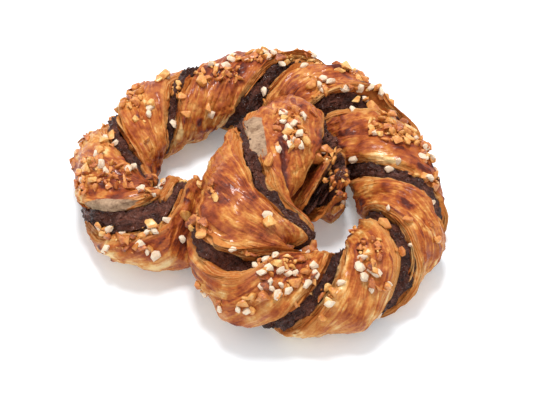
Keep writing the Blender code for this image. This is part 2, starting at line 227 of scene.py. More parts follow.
# Patches of nuts and pearl sugar: x, y, z, reach in x and in y, nuts and sugar nibs.
TOPPINGS = (
    (-24, -28, 26, 3, 3, 7, 0),
    (-20, -36, 33, 2.5, 3, 5, 0),
    (32, -4, 23, 3, 3, 6, 0),
    (32, -10, 14, 3.5, 2, 2, 4),
    (-70, -4, 25, 2, 7, 9, 1),
    (-65, 0, 28, 3.2, 3, 5, 0),
    (-62, 3, 30, 1.2, 3.5, 1, 2),
    (-58, 12, 27, 3.2, 4.5, 2, 2),
    (-62, -8, 28, 4, 3.5, 6, 1),
    (-52, -3, 28, 4.8, 2, 3, 2),
    (-54, -9, 29, 5.6, 2.5, 4, 0),
    (-43, 1, 17, 4.8, 2, 4, 0),
    (-37, -2, 16, 2.8, 1.5, 1, 3),
    (-27, -3, 17, 2.8, 1.5, 4, 0),
    (-42, -15, 28, 2.8, 1.5, 2, 2),
    (-52, 34, 27, 3.2, 4, 6, 0),
    (-51, 44, 22, 2.4, 2, 4, 0),
    (-40, 47, 26, 1.6, 3.5, 2, 1),
    (-43, 28, 28, 1.6, 2, 1, 2),
    (-47, 23, 27, 1.6, 1.5, 1, 0),
    (-44, 13, 25, 0.8, 1, 1, 0),
    (-33, 40, 25, 1.6, 3, 4, 0),
    (-23, 45, 28, 2.4, 3, 4, 0),
    (-28, 29, 22, 0.8, 1, 1, 0),
    (-21, 33, 21, 0.8, 1, 1, 0),
    (-18, 32, 18, 0.4, 0.5, 0, 1),
    (-35, 26, 19, 0.4, 0.5, 0, 1),
    (-13, 47, 28, 4.8, 3, 8, 0),
    (-15, 52, 28, 3.2, 1.5, 1, 3),
    (-8, 57, 28, 2.4, 1.5, 2, 3),
    (-1, 58, 28, 3.2, 3, 8, 1),
    (6, 59, 27, 2.4, 1.5, 1, 3),
    (11, 58, 26, 3.6, 1.5, 6, 0),
    (12, 54, 26, 0.8, 1, 0, 1),
    (21, 63, 22, 1.6, 1, 2, 0),
    (20, 53, 27, 0.8, 1, 0, 1),
    (25, 55, 25, 1.2, 1.5, 2, 0),
    (29, 43, 30, 0.8, 1, 0, 1),
    (24, 41, 28, 2.4, 3.5, 3, 3),
    (4, 42, 22, 0.8, 1, 0, 1),
    (2, 40, 19, 0.8, 1, 1, 0),
    (37, 53, 25, 3.6, 1.5, 5, 0),
    (44, 49, 23, 3.2, 2, 5, 0),
    (36, 37, 29, 2, 1, 1, 2),
    (42, 36, 28, 2, 1, 1, 1),
    (48, 37, 27, 2, 4, 3, 3),
    (38, 32, 27, 0.8, 0.5, 0, 1),
    (53, 29, 25, 2.4, 1.5, 4, 0),
    (47, 18, 29, 2, 3.5, 5, 1),
    (52, 22, 27, 2, 1.5, 3, 0),
    (56, 14, 29, 4.8, 3, 10, 1),
    (63, 15, 24, 2.8, 3, 7, 1),
    (67, 9, 23, 1.6, 3.5, 3, 2),
    (68, -5, 24, 2, 1.5, 3, 1),
    (61, -4, 27, 0.8, 1, 1, 0),
    (54, -1, 28, 2, 1.5, 0, 2),
    (37, 6, 21, 0.8, 1, 0, 1),
    (15, 10, 42, 6.8, 7, 13, 7),
    (13, -1, 41, 4, 2.5, 2, 4),
    (4, -9, 41, 0.8, 1, 1, 0),
    (27, 4, 27, 3.2, 3, 6, 1),
    (33, -7, 21, 3.6, 2.5, 6, 0),
    (32, -11, 13, 3.2, 2, 1, 5),
    (-58, -26, 19, 4.4, 1.5, 2, 3),
    (-39, -30, 25, 3.2, 1.5, 2, 3),
    (-33, -26, 26, 1.2, 1, 0, 1),
    (-23, -30, 29, 5.2, 3, 10, 0),
    (-28, -30, 18, 0.4, 0.5, 0, 1),
    (-39, -37, 16, 0.4, 1.5, 0, 1),
    (-46, -36, 21, 4, 4, 4, 2),
    (-54, -33, 18, 4.8, 3.5, 3, 1),
    (-18, -22, 39, 1.2, 3, 3, 0),
    (-20, -52, 15, 1.2, 2.5, 3, 1),
    (-10, -48, 32, 1.2, 0.5, 0, 1),
    (-4, -48, 32, 0.8, 0.5, 1, 0),
    (-12, -61, 16, 1.2, 1.5, 1, 1),
    (-4, -64, 20, 2.8, 2, 2, 2),
    (4, -32, 34, 0.8, 2, 1, 1),
    (9, -24, 28, 0.8, 1, 1, 0),
    (9, -20, 10, 0.4, 0.5, 0, 1),
    (12, -39, 24, 0.8, 1, 1, 0),
    (20, -38, 22, 1.6, 1.5, 2, 1),
    (5, -52, 31, 5.2, 3.5, 5, 6),
    (16, -50, 29, 4.4, 4, 6, 3),
    (13, -57, 29, 8.8, 3, 5, 5),
    (6, -62, 29, 4.4, 2, 3, 3),
    (-2, -63, 25, 2.4, 2, 2, 0),
    (31, -56, 27, 0.4, 0.5, 0, 1),
    (24, -61, 26, 3.2, 1.5, 3, 0),
    (26, -64, 23, 1.2, 1, 1, 1),
    (15, -64, 22, 0.8, 1, 1, 0),
    (24, -68, 18, 0.8, 1, 1, 0),
    (43, -44, 30, 3.2, 5.5, 9, 1),
    (42, -52, 26, 3.6, 1.5, 1, 4),
    (46, -55, 22, 4.4, 2.5, 2, 2),
    (37, -27, 19, 0.8, 1.5, 2, 0),
    (48, -29, 25, 1.2, 1.5, 2, 0),
    (45, -58, 7, 0.4, 1.5, 0, 1),
    (55, -40, 26, 0.8, 1, 1, 0),
    (57, -30, 30, 0.8, 1, 1, 0),
    (50, -23, 28, 0.8, 0.5, 0, 1),
    (67, -28, 23, 0.4, 1.5, 1, 0),
    (68, -31, 19, 0.8, 1, 1, 0),
    (59, -38, 26, 0.4, 0.5, 0, 1),
    (68, -15, 21, 0.4, 0.5, 0, 1),
    (71, -7, 22, 1.2, 2, 3, 0),
    (71, -24, 8, 0.4, 0.5, 1, 0),
)
# How many nuts lie in a patch for each one counted there, and how many crumbs.
NUTS_FOR_ONE = 1.45
CRUMBS_FOR_ONE = 2
# A patch is strewn a little past its reach, from a little above it. Two pieces lie no closer than
# this share of their sizes, and each is tried a few times.
STREWN_REACH = 1.25
STREWN_FROM = 1.5
LEAST_ROOM = 0.32
TRIES = 15
# How long most nibs are for each mm of the smallest, and the least, the largest and the most common
# length of a crumb.
COMMON_NIB = 1.4
CRUMB_LENGTHS = (0.8, 2.2, 1.2)

# Where two runs of the rope lie against each other, the first presses the second flat. A run is
# given by the first and the last of its rows in the route, and goes on past an end of the rope.
RING = (9, 18)
END_ON_TOP = (19, 26)
TIP_ON_TOP = (23, 26)
END_BELOW = (0, 7)
PRESSES = ((RING, TIP_ON_TOP), (RING, END_BELOW), (END_ON_TOP, END_BELOW))
PAST_THE_END = 50
# How far the press reaches and the gap it leaves, as shares of the pressing run's half size, and
# the height from which the dough moves up and down with it in full.
PRESS_REACH = 1.4
PRESS_GAP = 0.06
PRESS_LIFT = 6
# Every how many mm and degrees the rope's skin is measured, and how many points are held at once.
MEASURE_STEP = 2.7
MEASURE_TURN = 15
CHUNK = 6000

# Slow unevenness of the dough's outside: share of the size, length, turns round it, start.
WAVES = ((0.022, 31.0, 1.3, 0.4), (0.018, 17.0, -2.1, 2.2), (0.014, 9.5, 3.0, 4.0))

# How far apart the rings lie along the rope, how many lie in each round end, and how many points
# cross each face. The crust has EDGE_POINTS more beyond EDGE_FROM degrees, toward each cut edge.
STATION = 0.65
TIP_STATIONS = 9
CRUST_POINTS = 56
EDGE_POINTS = 30
EDGE_FROM = 58.0
WALL_POINTS = 7
RIM_POINTS = 20
# How far the filling stays from the rope's ends and from the floor.
FILLING_FROM_END = 2.5
FILLING_ABOVE_FLOOR = 0.4
# The outline of a thin sheet over its crest from one side of its foot to the other, as shares of its
# height and of half its thickness, and how far apart its rings lie.
SHEET_HEIGHTS = (0, 0.35, 0.7, 0.93, 1.0, 0.93, 0.7, 0.35, 0)
SHEET_SIDES = (1, 0.9, 0.7, 0.45, 0, -0.45, -0.7, -0.9, -1)
SHEET_STATION = 0.7
# How fine the chocolate that ran together is.
SPILL_VOXEL = 0.45
# Each strand's seed, and how far its noise lies from that of the other.
STRAND_SEEDS = {1: 10, -1: 40}
STRAND_APART = 50.0

# The photograph's camera: how high it stands in degrees, how far off it is and the point it looks at
# in metres, and its lens and sensor.
CAMERA_ELEVATION = 52.0
CAMERA_DISTANCE = 0.65
CAMERA_AIM = (0.00355, -0.00365, 0.012)
CAMERA_LENS = 109.8
CAMERA_SHIFT_Y = -12 / 533
SENSOR_WIDTH = 36.0
# The floor's radius in metres and the light it gives of its own, how bright the studio is, and the
# lamp's place and size in metres and its power in watts.
FLOOR_RADIUS = 1.6
FLOOR_GLOW = 0.16
STUDIO_STRENGTH = 0.86
LAMP_PLACE = (-0.02, 0.21, 0.77)
LAMP_SIZE = 0.22
LAMP_POWER = 5.1


# Numbers and noise.


def smoothstep(low, high, value):
    """0 up to low, 1 from high on, and a soft rise between them, or a fall where low is higher."""
    t = np.clip((np.asarray(value, float) - low) / (high - low), 0, 1)
    return t * t * (3 - 2 * t)


def noise(points, seed=0):
    """Smooth noise between -1 and 1, about one hill to a unit, at rows of three numbers."""
    points = np.asarray(points, float)
    cell = np.floor(points).astype(np.int64)
    inside = points - cell
    ease = inside**3 * (inside * (inside * 6 - 15) + 10)
    total = np.zeros(points.shape[:-1])
    for corner in itertools.product((0, 1), repeat=3):
        key = cell + np.array(corner)
        # Large numbers scatter the corner's place into a value that looks random.
        mixed = key[..., 0] * 73856093 ^ key[..., 1] * 19349663 ^ key[..., 2] * 83492791
        mixed = (mixed + seed * 7919) * 1274126177 & 0x7FFFFFFF
        mixed = (mixed ^ (mixed >> 13)) * 668265263 & 0x7FFFFFFF
        value = ((mixed ^ (mixed >> 16)) & 0xFFFF) / 32767.5 - 1
        weight = np.prod(np.where(corner, ease, 1 - ease), axis=-1)
        total += value * weight
    return total


def fractal(points, octaves=3, seed=0):
    """Noise with finer noise on top, each layer half as long and half as strong."""
    points = np.asarray(points, float)
    total = sum(noise(points * 2**k, seed + k) / 2**k for k in range(octaves))
    return total / (2 - 0.5 ** (octaves - 1))


# The twisted rope.


def smooth_route(rows, step=1.0, fineness=40):
    """Even distances along a smooth curve through the rows, the rows there, and where each was."""
    rows = np.array(rows, float)
    ends = np.vstack([2 * rows[0] - rows[1], rows, 2 * rows[-1] - rows[-2]])
    t = np.linspace(0, 1, fineness, endpoint=False)[:, None]
    spans = []
    for before, start, end, after in zip(ends, ends[1:], ends[2:], ends[3:]):
        slope = (end - before) / 2
        next_slope = (after - start) / 2
        spans.append(
            start * (2 * t**3 - 3 * t**2 + 1)
            + slope * (t**3 - 2 * t**2 + t)
            + end * (3 * t**2 - 2 * t**3)
            + next_slope * (t**3 - t**2)
        )
    fine = np.vstack(spans + [rows[-1:]])
    along = np.r_[0, np.cumsum(np.linalg.norm(np.diff(fine[:, :2], axis=0), axis=1))]
    even = np.linspace(0, along[-1], int(along[-1] / step) + 1)
    smooth = np.stack([np.interp(even, along, column) for column in fine.T], axis=1)
    smooth[:, :2] -= MIDDLE
    return even, smooth, along[::fineness]


class Rope:
    """The twisted rope: where its sections are, how they turn, and how thick its filling is."""

    def __init__(self):
        self.along, self.rows, self.row_at = smooth_route(ROUTE)
        self.length = self.along[-1]
        forward = np.gradient(self.rows[:, :2], self.along, axis=0)
        forward /= np.linalg.norm(forward, axis=1)[:, None]
        self.outward = np.stack([-forward[:, 1], forward[:, 0]], axis=1)
        heading = np.unwrap(np.arctan2(forward[:, 1], forward[:, 0]))
        bend = np.abs(np.gradient(heading, self.along))
        self.bend_radius = 1 / np.maximum(np.convolve(bend, np.ones(9) / 9, "same"), 0.002)
        self.measure_presses()

    def at(self, s, column):
        """One of the five numbers of the route's rows, at s along the rope."""
        return np.interp(s, self.along, self.rows[:, column])

    def side(self, s):
        """The level direction out of the ring."""
        across = np.stack([np.interp(s, self.along, c) for c in self.outward.T], axis=-1)
        return across / np.linalg.norm(across, axis=-1, keepdims=True)

    def turn(self, s):
        """How far the filling leans from upright to the outside of the ring, in radians."""
        marks = np.arange(len(FILLING_AT_CROWN))
        return math.pi * np.interp(s, FILLING_AT_CROWN, marks)

    def rim(self, s):
        """Half the filling's thickness at its rim, as a share of the half width."""
        return np.interp(s, FILLING_AT_CROWN, RIM_THICKNESS) / 2 / self.at(s, HALF_WIDTH)

    def place(self, s, p, q, floor=0.0):
        """World points for p, across the layers, and q, along them, in shares of the half width."""
        s, p, q = np.broadcast_arrays(*(np.asarray(v, float) for v in (s, p, q)))
        turn = self.turn(s)
        wide = self.at(s, HALF_WIDTH)
        high = self.at(s, HALF_HEIGHT)
        middle = self.at(s, HEIGHT)
        lean_p = -np.sin(turn)
        lean_q = np.cos(turn)
        # An edge that would reach below the floor is cut shorter along the layers.
        lowest = middle + high * (p * lean_p + q * lean_q)
        leans = np.abs(lean_q) >= LEAST_LEAN
        room = (floor - middle - high * p * lean_p) / np.where(leans, high * lean_q, 1)
        short = (lowest < floor) & leans & (np.sign(room) == np.sign(q))
        q = np.where(short, np.sign(q) * np.minimum(np.abs(q), np.abs(room)), q)
        across = wide * (p * np.cos(turn) + q * np.sin(turn))
        # Inside a bend the dough crowds together, and never past the middle of the bend.
        free = CROWDS_FROM * np.interp(s, self.along, self.bend_radius)
        crowded = -free * (2 - np.exp(-np.maximum(-across - free, 0) / free))
        across = np.where(across < -free, crowded, across)
        height = np.maximum(middle + high * (p * lean_p + q * lean_q), floor)
        flat = np.stack([self.at(s, X), self.at(s, Y)], axis=-1) + self.side(s) * across[..., None]
        return np.concatenate([flat, height[..., None]], axis=-1)

    def within(self, s, run):
        """Whether s lies in a run, with some room past the rope's own ends."""
        first = self.row_at[run[0]] - (PAST_THE_END if run[0] == 0 else 0)
        last = self.row_at[run[1]] + (PAST_THE_END if run[1] == len(ROUTE) - 1 else 0)
        return (s >= first) & (s <= last)

    def offsets(self, points, run):
        """How far points lie from the middle of a run of the rope, in shares of its half size."""
        chosen = self.within(self.along, run)
        rows = self.rows[chosen]
        pieces = np.array_split(points[:, :2], len(points) // CHUNK + 1)
        away = (((piece[:, None] - rows[None, :, :2]) ** 2).sum(axis=2) for piece in pieces)
        nearest = np.concatenate([squares.argmin(axis=1) for squares in away])
        near = rows[nearest]
        flat = points[:, :2] - near[:, :2]
        size = np.maximum(near[:, HALF_WIDTH], 1)
        sideways = np.einsum("ij,ij->i", flat, self.outward[chosen][nearest]) / size
        lengthways = np.sqrt(np.maximum((flat**2).sum(axis=1) / size**2 - sideways**2, 0))
        upward = (points[:, 2] - near[:, HEIGHT]) / near[:, HALF_HEIGHT]
        return near, np.sqrt(sideways**2 + lengthways**2 + upward**2)

    def taper(self, s, least=0.02):
        """The rope's size at s as a share, which only falls at its two rounded ends."""
        reach = np.maximum(0, TIP_LENGTH - np.minimum(s, self.length - s))
        return np.sqrt(np.maximum(1 - (reach / TIP_LENGTH) ** 2, least**2))

    def press(self, points, s):
        """Presses the runs that lie against another run flat against it, and draws dough out."""
        s = np.broadcast_to(s, points.shape[:-1]).reshape(-1)
        flat = points.reshape(-1, 3).copy()
        for pressing, pressed in PRESSES:
            chosen = np.flatnonzero(self.within(s, pressed))
            if not len(chosen):
                continue
            near, away = self.offsets(flat[chosen], pressing)
            closest = self.closest[pressing, pressed]
            if closest >= 1 + PRESS_GAP:
                continue
            share = (PRESS_REACH - 1 - PRESS_GAP) / (PRESS_REACH - closest)
            wanted = 1 + PRESS_GAP + (away - closest) * share
            factor = np.where(away < PRESS_REACH, wanted / np.maximum(away, 0.1), 1)
            moved = near[:, :3] + (flat[chosen] - near[:, :3]) * factor[:, None]
            # What rests on the floor stays there.
            high = flat[chosen][:, 2]
            moved[:, 2] = high + (moved[:, 2] - high) * np.clip(high / PRESS_LIFT, 0, 1)
            flat[chosen] = moved
        for x, y, z, reach, *way in PULLS:
            away = np.linalg.norm(flat - (x, y, z), axis=1) / reach
            flat += (np.maximum(1 - away**2, 0) ** 2)[:, None] * way
        return flat.reshape(points.shape)

    def measure_presses(self):
        """The closest that each pressed run would come to the run that presses it."""
        s = np.arange(0, self.length, MEASURE_STEP)[:, None]
        round_it = np.radians(np.arange(0, 360, MEASURE_TURN))[None, :]
        size = self.taper(s, 0.22)
        skin = self.place(s, size * np.cos(round_it), size * np.sin(round_it)).reshape(-1, 3)
        s = np.repeat(s[:, 0], round_it.shape[1])
        self.closest = {}
        for pressing, pressed in PRESSES:
            chosen = self.within(s, pressed)
            self.closest[pressing, pressed] = self.offsets(skin[chosen], pressing)[1].min()


def window(s, middle, half_length):
    """A share that is 1 about the middle and falls softly to 0 at both ends."""
    return 1 - smoothstep(0.55, 1.0, np.abs(np.asarray(s, float) - middle) / half_length)


def filling_edge(rope, s, half, edge):
    """Where the filling ends and a strand begins at one of its edges, as a share of half width."""
    s = np.asarray(s, float)
    row = np.stack([s / 10.0, np.full_like(s, half * 7.3), np.full_like(s, edge * 3.1)], axis=-1)
    share = 1 + EDGE_WANDER * fractal(row, 2, 91)
    for middle, half_length, lap_half, lap_edge, cover in LAPS:
        if (lap_half, lap_edge) == (half, edge):
            share = share * (1 - 2 * cover * window(s, middle, half_length))
    return rope.rim(s) * share


def distance_to_line(points, line):
    """How far points lie from a line through some places."""
    least = np.full(points.shape[:-1], np.inf)
    for start, end in zip(np.array(line, float), np.array(line, float)[1:]):
        way = end - start
        share = np.clip(((points - start) @ way) / (way @ way), 0, 1)
        least = np.minimum(least, np.linalg.norm(points - start - share[..., None] * way, axis=-1))
    return least


def near_patches(points):
    """1 on the patches with many nuts, 0 away from them."""
    total = np.zeros(points.shape[:-1])
    for x, y, z, reach_x, reach_y, nuts, _ in TOPPINGS:
        if nuts >= 3:
            away = (points - (x, y, z)) / (reach_x + 2, reach_y + 2, 5)
            total = np.maximum(total, np.exp(-(away**2).sum(axis=-1)))
    return smoothstep(0.15, 0.7, total)


def stations(rope, from_end=0.02):
    """Places along the rope, closer together where its ends round off."""
    quarter = np.linspace(0, math.pi / 2, TIP_STATIONS, endpoint=False)
    start = from_end + TIP_LENGTH * (1 - np.cos(quarter))
    count = round((rope.length - 2 * TIP_LENGTH) / STATION)
    middle = np.linspace(TIP_LENGTH, rope.length - TIP_LENGTH, count)
    return np.r_[start, middle, (rope.length - start)[::-1]]


def unevenness(s, round_it):
    """How much larger or smaller the dough is than its even form, as a factor."""
    return 1 + sum(
        size * np.sin(2 * math.pi * s / length + turns * round_it + start)
        for size, length, turns, start in WAVES
    )


def inside_outline(points, corners):
    """Whether points, given by two numbers each, lie inside an outline."""
    inside = np.zeros(points.shape[:-1], bool)
    u, w = points[..., 0], points[..., 1]
    for (u1, w1), (u2, w2) in zip(corners, corners[1:] + corners[:1]):
        between = (w1 > w) != (w2 > w)
        inside ^= between & (u < u1 + (w - w1) * (u2 - u1) / ((w2 - w1) or 1e-9))
    return inside


def surface_normals(grid):
    """Outward directions of a tube given as rings of points."""
    lengthways = np.gradient(grid, axis=0)
    round_it = np.roll(grid, -1, axis=1) - np.roll(grid, 1, axis=1)
    normal = np.cross(round_it, lengthways)
    normal /= np.maximum(np.linalg.norm(normal, axis=2, keepdims=True), 1e-9)
    outward = grid - grid.mean(axis=1, keepdims=True)
    if (normal * outward).sum() < 0:
        normal = -normal
    return normal


# Meshes.


def new_piece(name, points, faces, finish):
    """A smooth shaded object from points in millimetres."""
    data = bpy.data.meshes.new(name)
    data.from_pydata((np.asarray(points) * MM).tolist(), [], faces)
    data.validate()
    data.materials.append(finish)
    data.shade_smooth()
    made = bpy.data.objects.new(name, data)
    bpy.context.scene.collection.objects.link(made)
    return made


def face_outward(obj):
    """Turns all faces of a closed mesh outward."""
    mesh = bmesh.new()
    mesh.from_mesh(obj.data)
    bmesh.ops.recalc_face_normals(mesh, faces=mesh.faces)
    mesh.to_mesh(obj.data)
    mesh.free()


def tube_faces(rings, sides):
    """Quads between rings of points, with a cap at each end."""
    faces = []
    for i in range(rings - 1):
        for j in range(sides):
            k = (j + 1) % sides
            faces.append((i * sides + j, i * sides + k, (i + 1) * sides + k, (i + 1) * sides + j))
    faces.append(tuple(range(sides - 1, -1, -1)))
    faces.append(tuple(range((rings - 1) * sides, rings * sides)))
    return faces


def keep_values(obj, **values):
    """Stores numbers, or rows of three, on the points of a mesh for its material to read."""
    for name, numbers in values.items():
        numbers = np.asarray(numbers, np.float32)
        in_rows = numbers.ndim > 1 and numbers.shape[-1] == 3
        layer = obj.data.attributes.new(name, "FLOAT_VECTOR" if in_rows else "FLOAT", "POINT")
        layer.data.foreach_set("vector" if in_rows else "value", numbers.reshape(-1))


# Dough.


def crust_angles():
    """Angles from one cut edge over the crust to the other, closer together near the edges."""
    edge = np.linspace(EDGE_FROM, 90, EDGE_POINTS, endpoint=False)
    middle = np.linspace(-EDGE_FROM, EDGE_FROM, CRUST_POINTS)
    return np.radians(np.r_[-90 + (edge - EDGE_FROM), middle, (90 - (edge - EDGE_FROM))[::-1]])


def strand_grid(rope, half, settings):
    """How far along the rope a dough strand's rings lie, its points, and how many are on its crust."""
    s = stations(rope)[:, None]
    angle = crust_angles()[None, :]
    swell = unevenness(s, angle + (0 if half > 0 else math.pi))
    gap = GAP / rope.at(s, HALF_WIDTH)
    down = np.linspace(1, -1, WALL_POINTS + 2)[None, 1:-1]
    lapped = {
        edge: sum(
            window(s, middle, half_length)
            for middle, half_length, lap_half, lap_edge, cover in LAPS
            if (lap_half, lap_edge) == (half, edge) and cover > 0
        )
        + 0 * s
        for edge in (1, -1)
    }
    upper, lower = (filling_edge(rope, s, half, edge) + gap for edge in (1, -1))
    rim = np.where(angle > 0, upper, lower)
    lap = np.where(angle > 0, lapped[1], lapped[-1])
    across = rim + (1 - rim) * np.maximum(np.cos(angle), 0) ** FULLNESS
    dip = settings.edge_dip * smoothstep(72, 90, np.degrees(np.abs(angle))) * (1 - lap)
    crust_q = np.sign(angle) * (DOUGH_EDGE * np.sin(np.abs(angle)) * swell - dip)
    # The wall against the filling, from the upper cut edge to the lower one.
    core = (CORE_THICKNESS / 2 + GAP) / rope.at(s, HALF_WIDTH)
    wall_rim = np.where(down > 0, upper, lower)
    wall_lap = np.where(down > 0, lapped[1], lapped[-1])
    wall_p = core + (wall_rim - core) * np.abs(down)
    wall_q = down * (DOUGH_EDGE - settings.edge_dip * (1 - wall_lap))
    p = np.concatenate([across * swell, wall_p], axis=1)
    q = np.concatenate([crust_q, wall_q], axis=1)
    size = rope.taper(s)
    grid = rope.press(rope.place(s, half * p * size, q * size), s)
    return s, grid, angle.shape[1]


def bare_share(grid, s, half):
    """1 where a strand's dough is bare, 0 elsewhere."""
    lean_y, lean_z = PATCH_LEAN
    leaning = np.stack([grid[..., 0], grid[..., 1] * lean_y + grid[..., 2] * lean_z], -1)
    facing = surface_normals(grid)[..., 1:] @ (-lean_z, lean_y) > LEAST_FACING
    bare = np.zeros(grid.shape[:2])
    for bare_half, first, last, corners in BARE_PATCHES:
        if bare_half == half:
            bare += inside_outline(leaning, corners) & facing & (s > first) & (s < last)
    return bare


def build_strand(name, rope, half, settings, finish):
    """One of the two dough strands, with its flaky edges, wrinkles, blisters and torn sheets."""
    s, grid, crust_count = strand_grid(rope, half, settings)
    seed = STRAND_SEEDS[half]
    rings, sides = grid.shape[:2]
    steps = np.linalg.norm(np.diff(grid[:, :crust_count], axis=1), axis=2)
    across = np.concatenate([np.zeros((rings, 1)), np.cumsum(steps, axis=1)], axis=1)
    width = across[:, -1:]
    wall = np.repeat(width / 2, sides - crust_count, 1)
    # The way over the crust from its middle line.
    v = np.concatenate([across - width / 2, wall], axis=1)
    from_edge = np.maximum(width / 2 - np.abs(v), 0)
    s = s * np.ones_like(v)
    strand = np.stack([s, v, np.full_like(v, half * STRAND_APART)], axis=-1)

    def over(along, sideways, number):
        return noise(strand / (along, sideways, 1.0), seed + number)

    bare = bare_share(grid, s, half)
    # Flaky layers end one after another toward each cut edge.
    warp = 1.5 * over(17.0, 6.0, 0) + 0.5 * over(5.0, 2.5, 1)
    edge_width = settings.flaky_width * (1 + 0.6 * over(13.0, 1e6, 2))
    flaky = (1 - smoothstep(0.5 * edge_width, edge_width, from_edge)) * (1 - bare)
    layer = (from_edge + warp) / settings.layer_spacing
    step = layer - np.floor(layer)
    layers = flaky * (0.55 - step) * settings.layer_depth * (0.75 + 0.75 * over(8.0, 2.0, 3))

    # Wrinkles run along the strand where it was stretched, and blisters rise here and there.
    moved = strand + np.stack([0 * v, warp, 0 * v], -1)
    ridges = 1 - 2 * np.abs(noise(moved / (13.0, 2.0, 1.0), seed + 4))
    fine = over(6.0, 0.9, 5)
    amount = smoothstep(0.15, 0.8, over(18.0, 9.0, 6) + 0.45 * smoothstep(9, 3, from_edge))
    wrinkles = settings.wrinkle_depth * (0.06 + amount) * (0.8 * ridges + 0.4 * fine)
    wrinkles = wrinkles * (1 - 0.6 * flaky) * (1 - bare)
    lumps = fractal(grid / 8.0, 3, seed + 7) + 0.42 * fractal(grid / 2.6, 2, seed + 17)
    bubbly = smoothstep(0.05, 0.5, noise(grid / 14.0, seed + 9))
    blister = np.maximum(noise(grid / 2.7, seed + 8) - 0.15, 0) * bubbly
    crag = np.maximum(noise(grid / 1.6, seed + 12), 0) * bubbly
    blisters = (settings.blister_height * blister + 0.35 * crag) * (1 - flaky) * (1 - bare)
    # The outermost sheets of dough broke, so they end over one another in low terraces.
    drawn = (strand + warp[..., None] * (1.5, 0, 0)) / (10.0, 5.5, 1.0)
    torn = settings.torn_sheets * fractal(drawn, 3, seed + 14)
    sheet = torn - np.floor(torn)
    terrace = np.floor(torn) + smoothstep(0.72, 1.0, sheet)
    smooth_part = (1 - flaky) * (1 - bare)
    sheets = settings.sheet_height * terrace * smooth_part
    # Under the strewn patches small pieces lie hidden in the glaze.
    strewn = near_patches(grid)
    hidden = np.maximum(noise(grid / 2.3, seed + 16) - 0.05, 0) ** 0.7 * strewn * (1 - bare)
    rise = lumps + layers + wrinkles + blisters + sheets + settings.hidden_height * hidden

    normal = surface_normals(grid)
    free = smoothstep(0.4, 3.0, grid[..., 2]) * rope.taper(s) ** 0.5
    on_crust = np.r_[np.ones(crust_count), np.full(sides - crust_count, 0.15)]
    shown = grid + normal * (rise * free * on_crust)[..., None]
    shown[..., 2] = np.maximum(shown[..., 2], 0)
    groove = np.exp(-((distance_to_line(grid, GROOVE) / GROOVE_WIDTH) ** 2))
    shown -= normal * (GROOVE_DEPTH * groove * free)[..., None]

    # How dark the crust is, from 0, pale, to 1: browner on top and on blisters, painted shade in
    # hollows.
    # Wrinkle valleys are darker: partly glaze pooled in them, partly painted shade.
    valley_glaze_and_shade = smoothstep(0.25, -0.9, ridges) * amount
    bake = 0.47 + 0.16 * normal[..., 2] + 0.26 * fractal(grid / 13.0, 2, seed + 11)
    bake = bake + 0.28 * valley_glaze_and_shade + 0.9 * blister + 0.25 * crag - 0.22 * smoothstep(7.5, 1.5, from_edge)
    # The groove is painted darker too, as painted shade in it.
    bake = bake + 0.55 * groove + strewn * (0.10 - 0.35 * hidden)
    bake = bake - 0.15 * smoothstep(8, 1, grid[..., 2])
    # Along each torn sheet: a paler line at its rising edge, painted shade just past it, and each
    # sheet's own browning.
    seam = smoothstep(0.50, 0.72, sheet) * (1 - smoothstep(0.80, 0.98, sheet))
    shade_under_seam = 1 - smoothstep(0.0, 0.16, sheet)
    sheet_tone = noise(np.stack([np.floor(torn) * 1.37] * 3, -1), seed + 15)
    bake = bake + smooth_part * (0.22 * shade_under_seam - 0.20 * seam + 0.14 * sheet_tone)
    made = new_piece(name, shown.reshape(-1, 3), tube_faces(rings, sides), finish)
    keep_values(made, strand=strand, bake=bake, flaky=flaky, step=step * flaky, bare=bare)
    face_outward(made)
    return made


# Thin sheets.


def fin(rope, start, end, base, tip, thickness, wave, seed):
    """A thin wavy sheet along the rope, from a foot to a crest given as shares across the layers
    and along them. It is thickest at the foot and low at both ends."""
    rings = max(6, int((end - start) / SHEET_STATION))
    s = np.linspace(start, end, rings)[:, None]
    up = np.array(SHEET_HEIGHTS)[None, :]
    side = np.array(SHEET_SIDES)[None, :]
    low_ends = np.sqrt(np.clip(1 - np.abs(2 * (s - start) / (end - start) - 1) ** 3, 0.02, 1))
    uneven = 1 + 0.35 * noise(np.concatenate([s / 3.0, 0 * s, 0 * s + seed], 1)[:, None], seed)
    height = low_ends * uneven
    sway = wave * noise(np.concatenate([s / 6.0, 0 * s + 5, 0 * s + seed], 1)[:, None], seed)
    p = base[0] + (tip[0] - base[0]) * up * height + sway * up
    q = base[1] + (tip[1] - base[1]) * up * height
    p = p + side * thickness / 2 / rope.at(s, HALF_WIDTH) * (1 - 0.5 * up)
    grid = rope.press(rope.place(s, p, q), s)
    grid += (0.18 * fractal(grid / 1.4, 2, seed))[..., None] * surface_normals(grid)
    grid[..., 2] = np.maximum(grid[..., 2], 0)
    return grid


def join_grids(name, grids, finish, **per_grid):
    """One object from several tubes. Each value given per grid is kept on its points."""
    points = []
    faces = []
    values = {key: [] for key in per_grid}
    for number, grid in enumerate(grids):
        start = sum(len(made) for made in points)
        faces += [tuple(start + i for i in face) for face in tube_faces(*grid.shape[:2])]
        points.append(grid.reshape(-1, 3))
        for key, numbers in per_grid.items():
            values[key] += [numbers[number]] * len(points[-1])
    made = new_piece(name, np.vstack(points), faces, finish)
    keep_values(made, **values)
    face_outward(made)
    return made


def cut_edge(rope, s, half, edge):
    """Where a strand's cut edge lies at one place, as a share of the half width."""
    return float(filling_edge(rope, s, half, edge)) + GAP / float(rope.at(s, HALF_WIDTH))


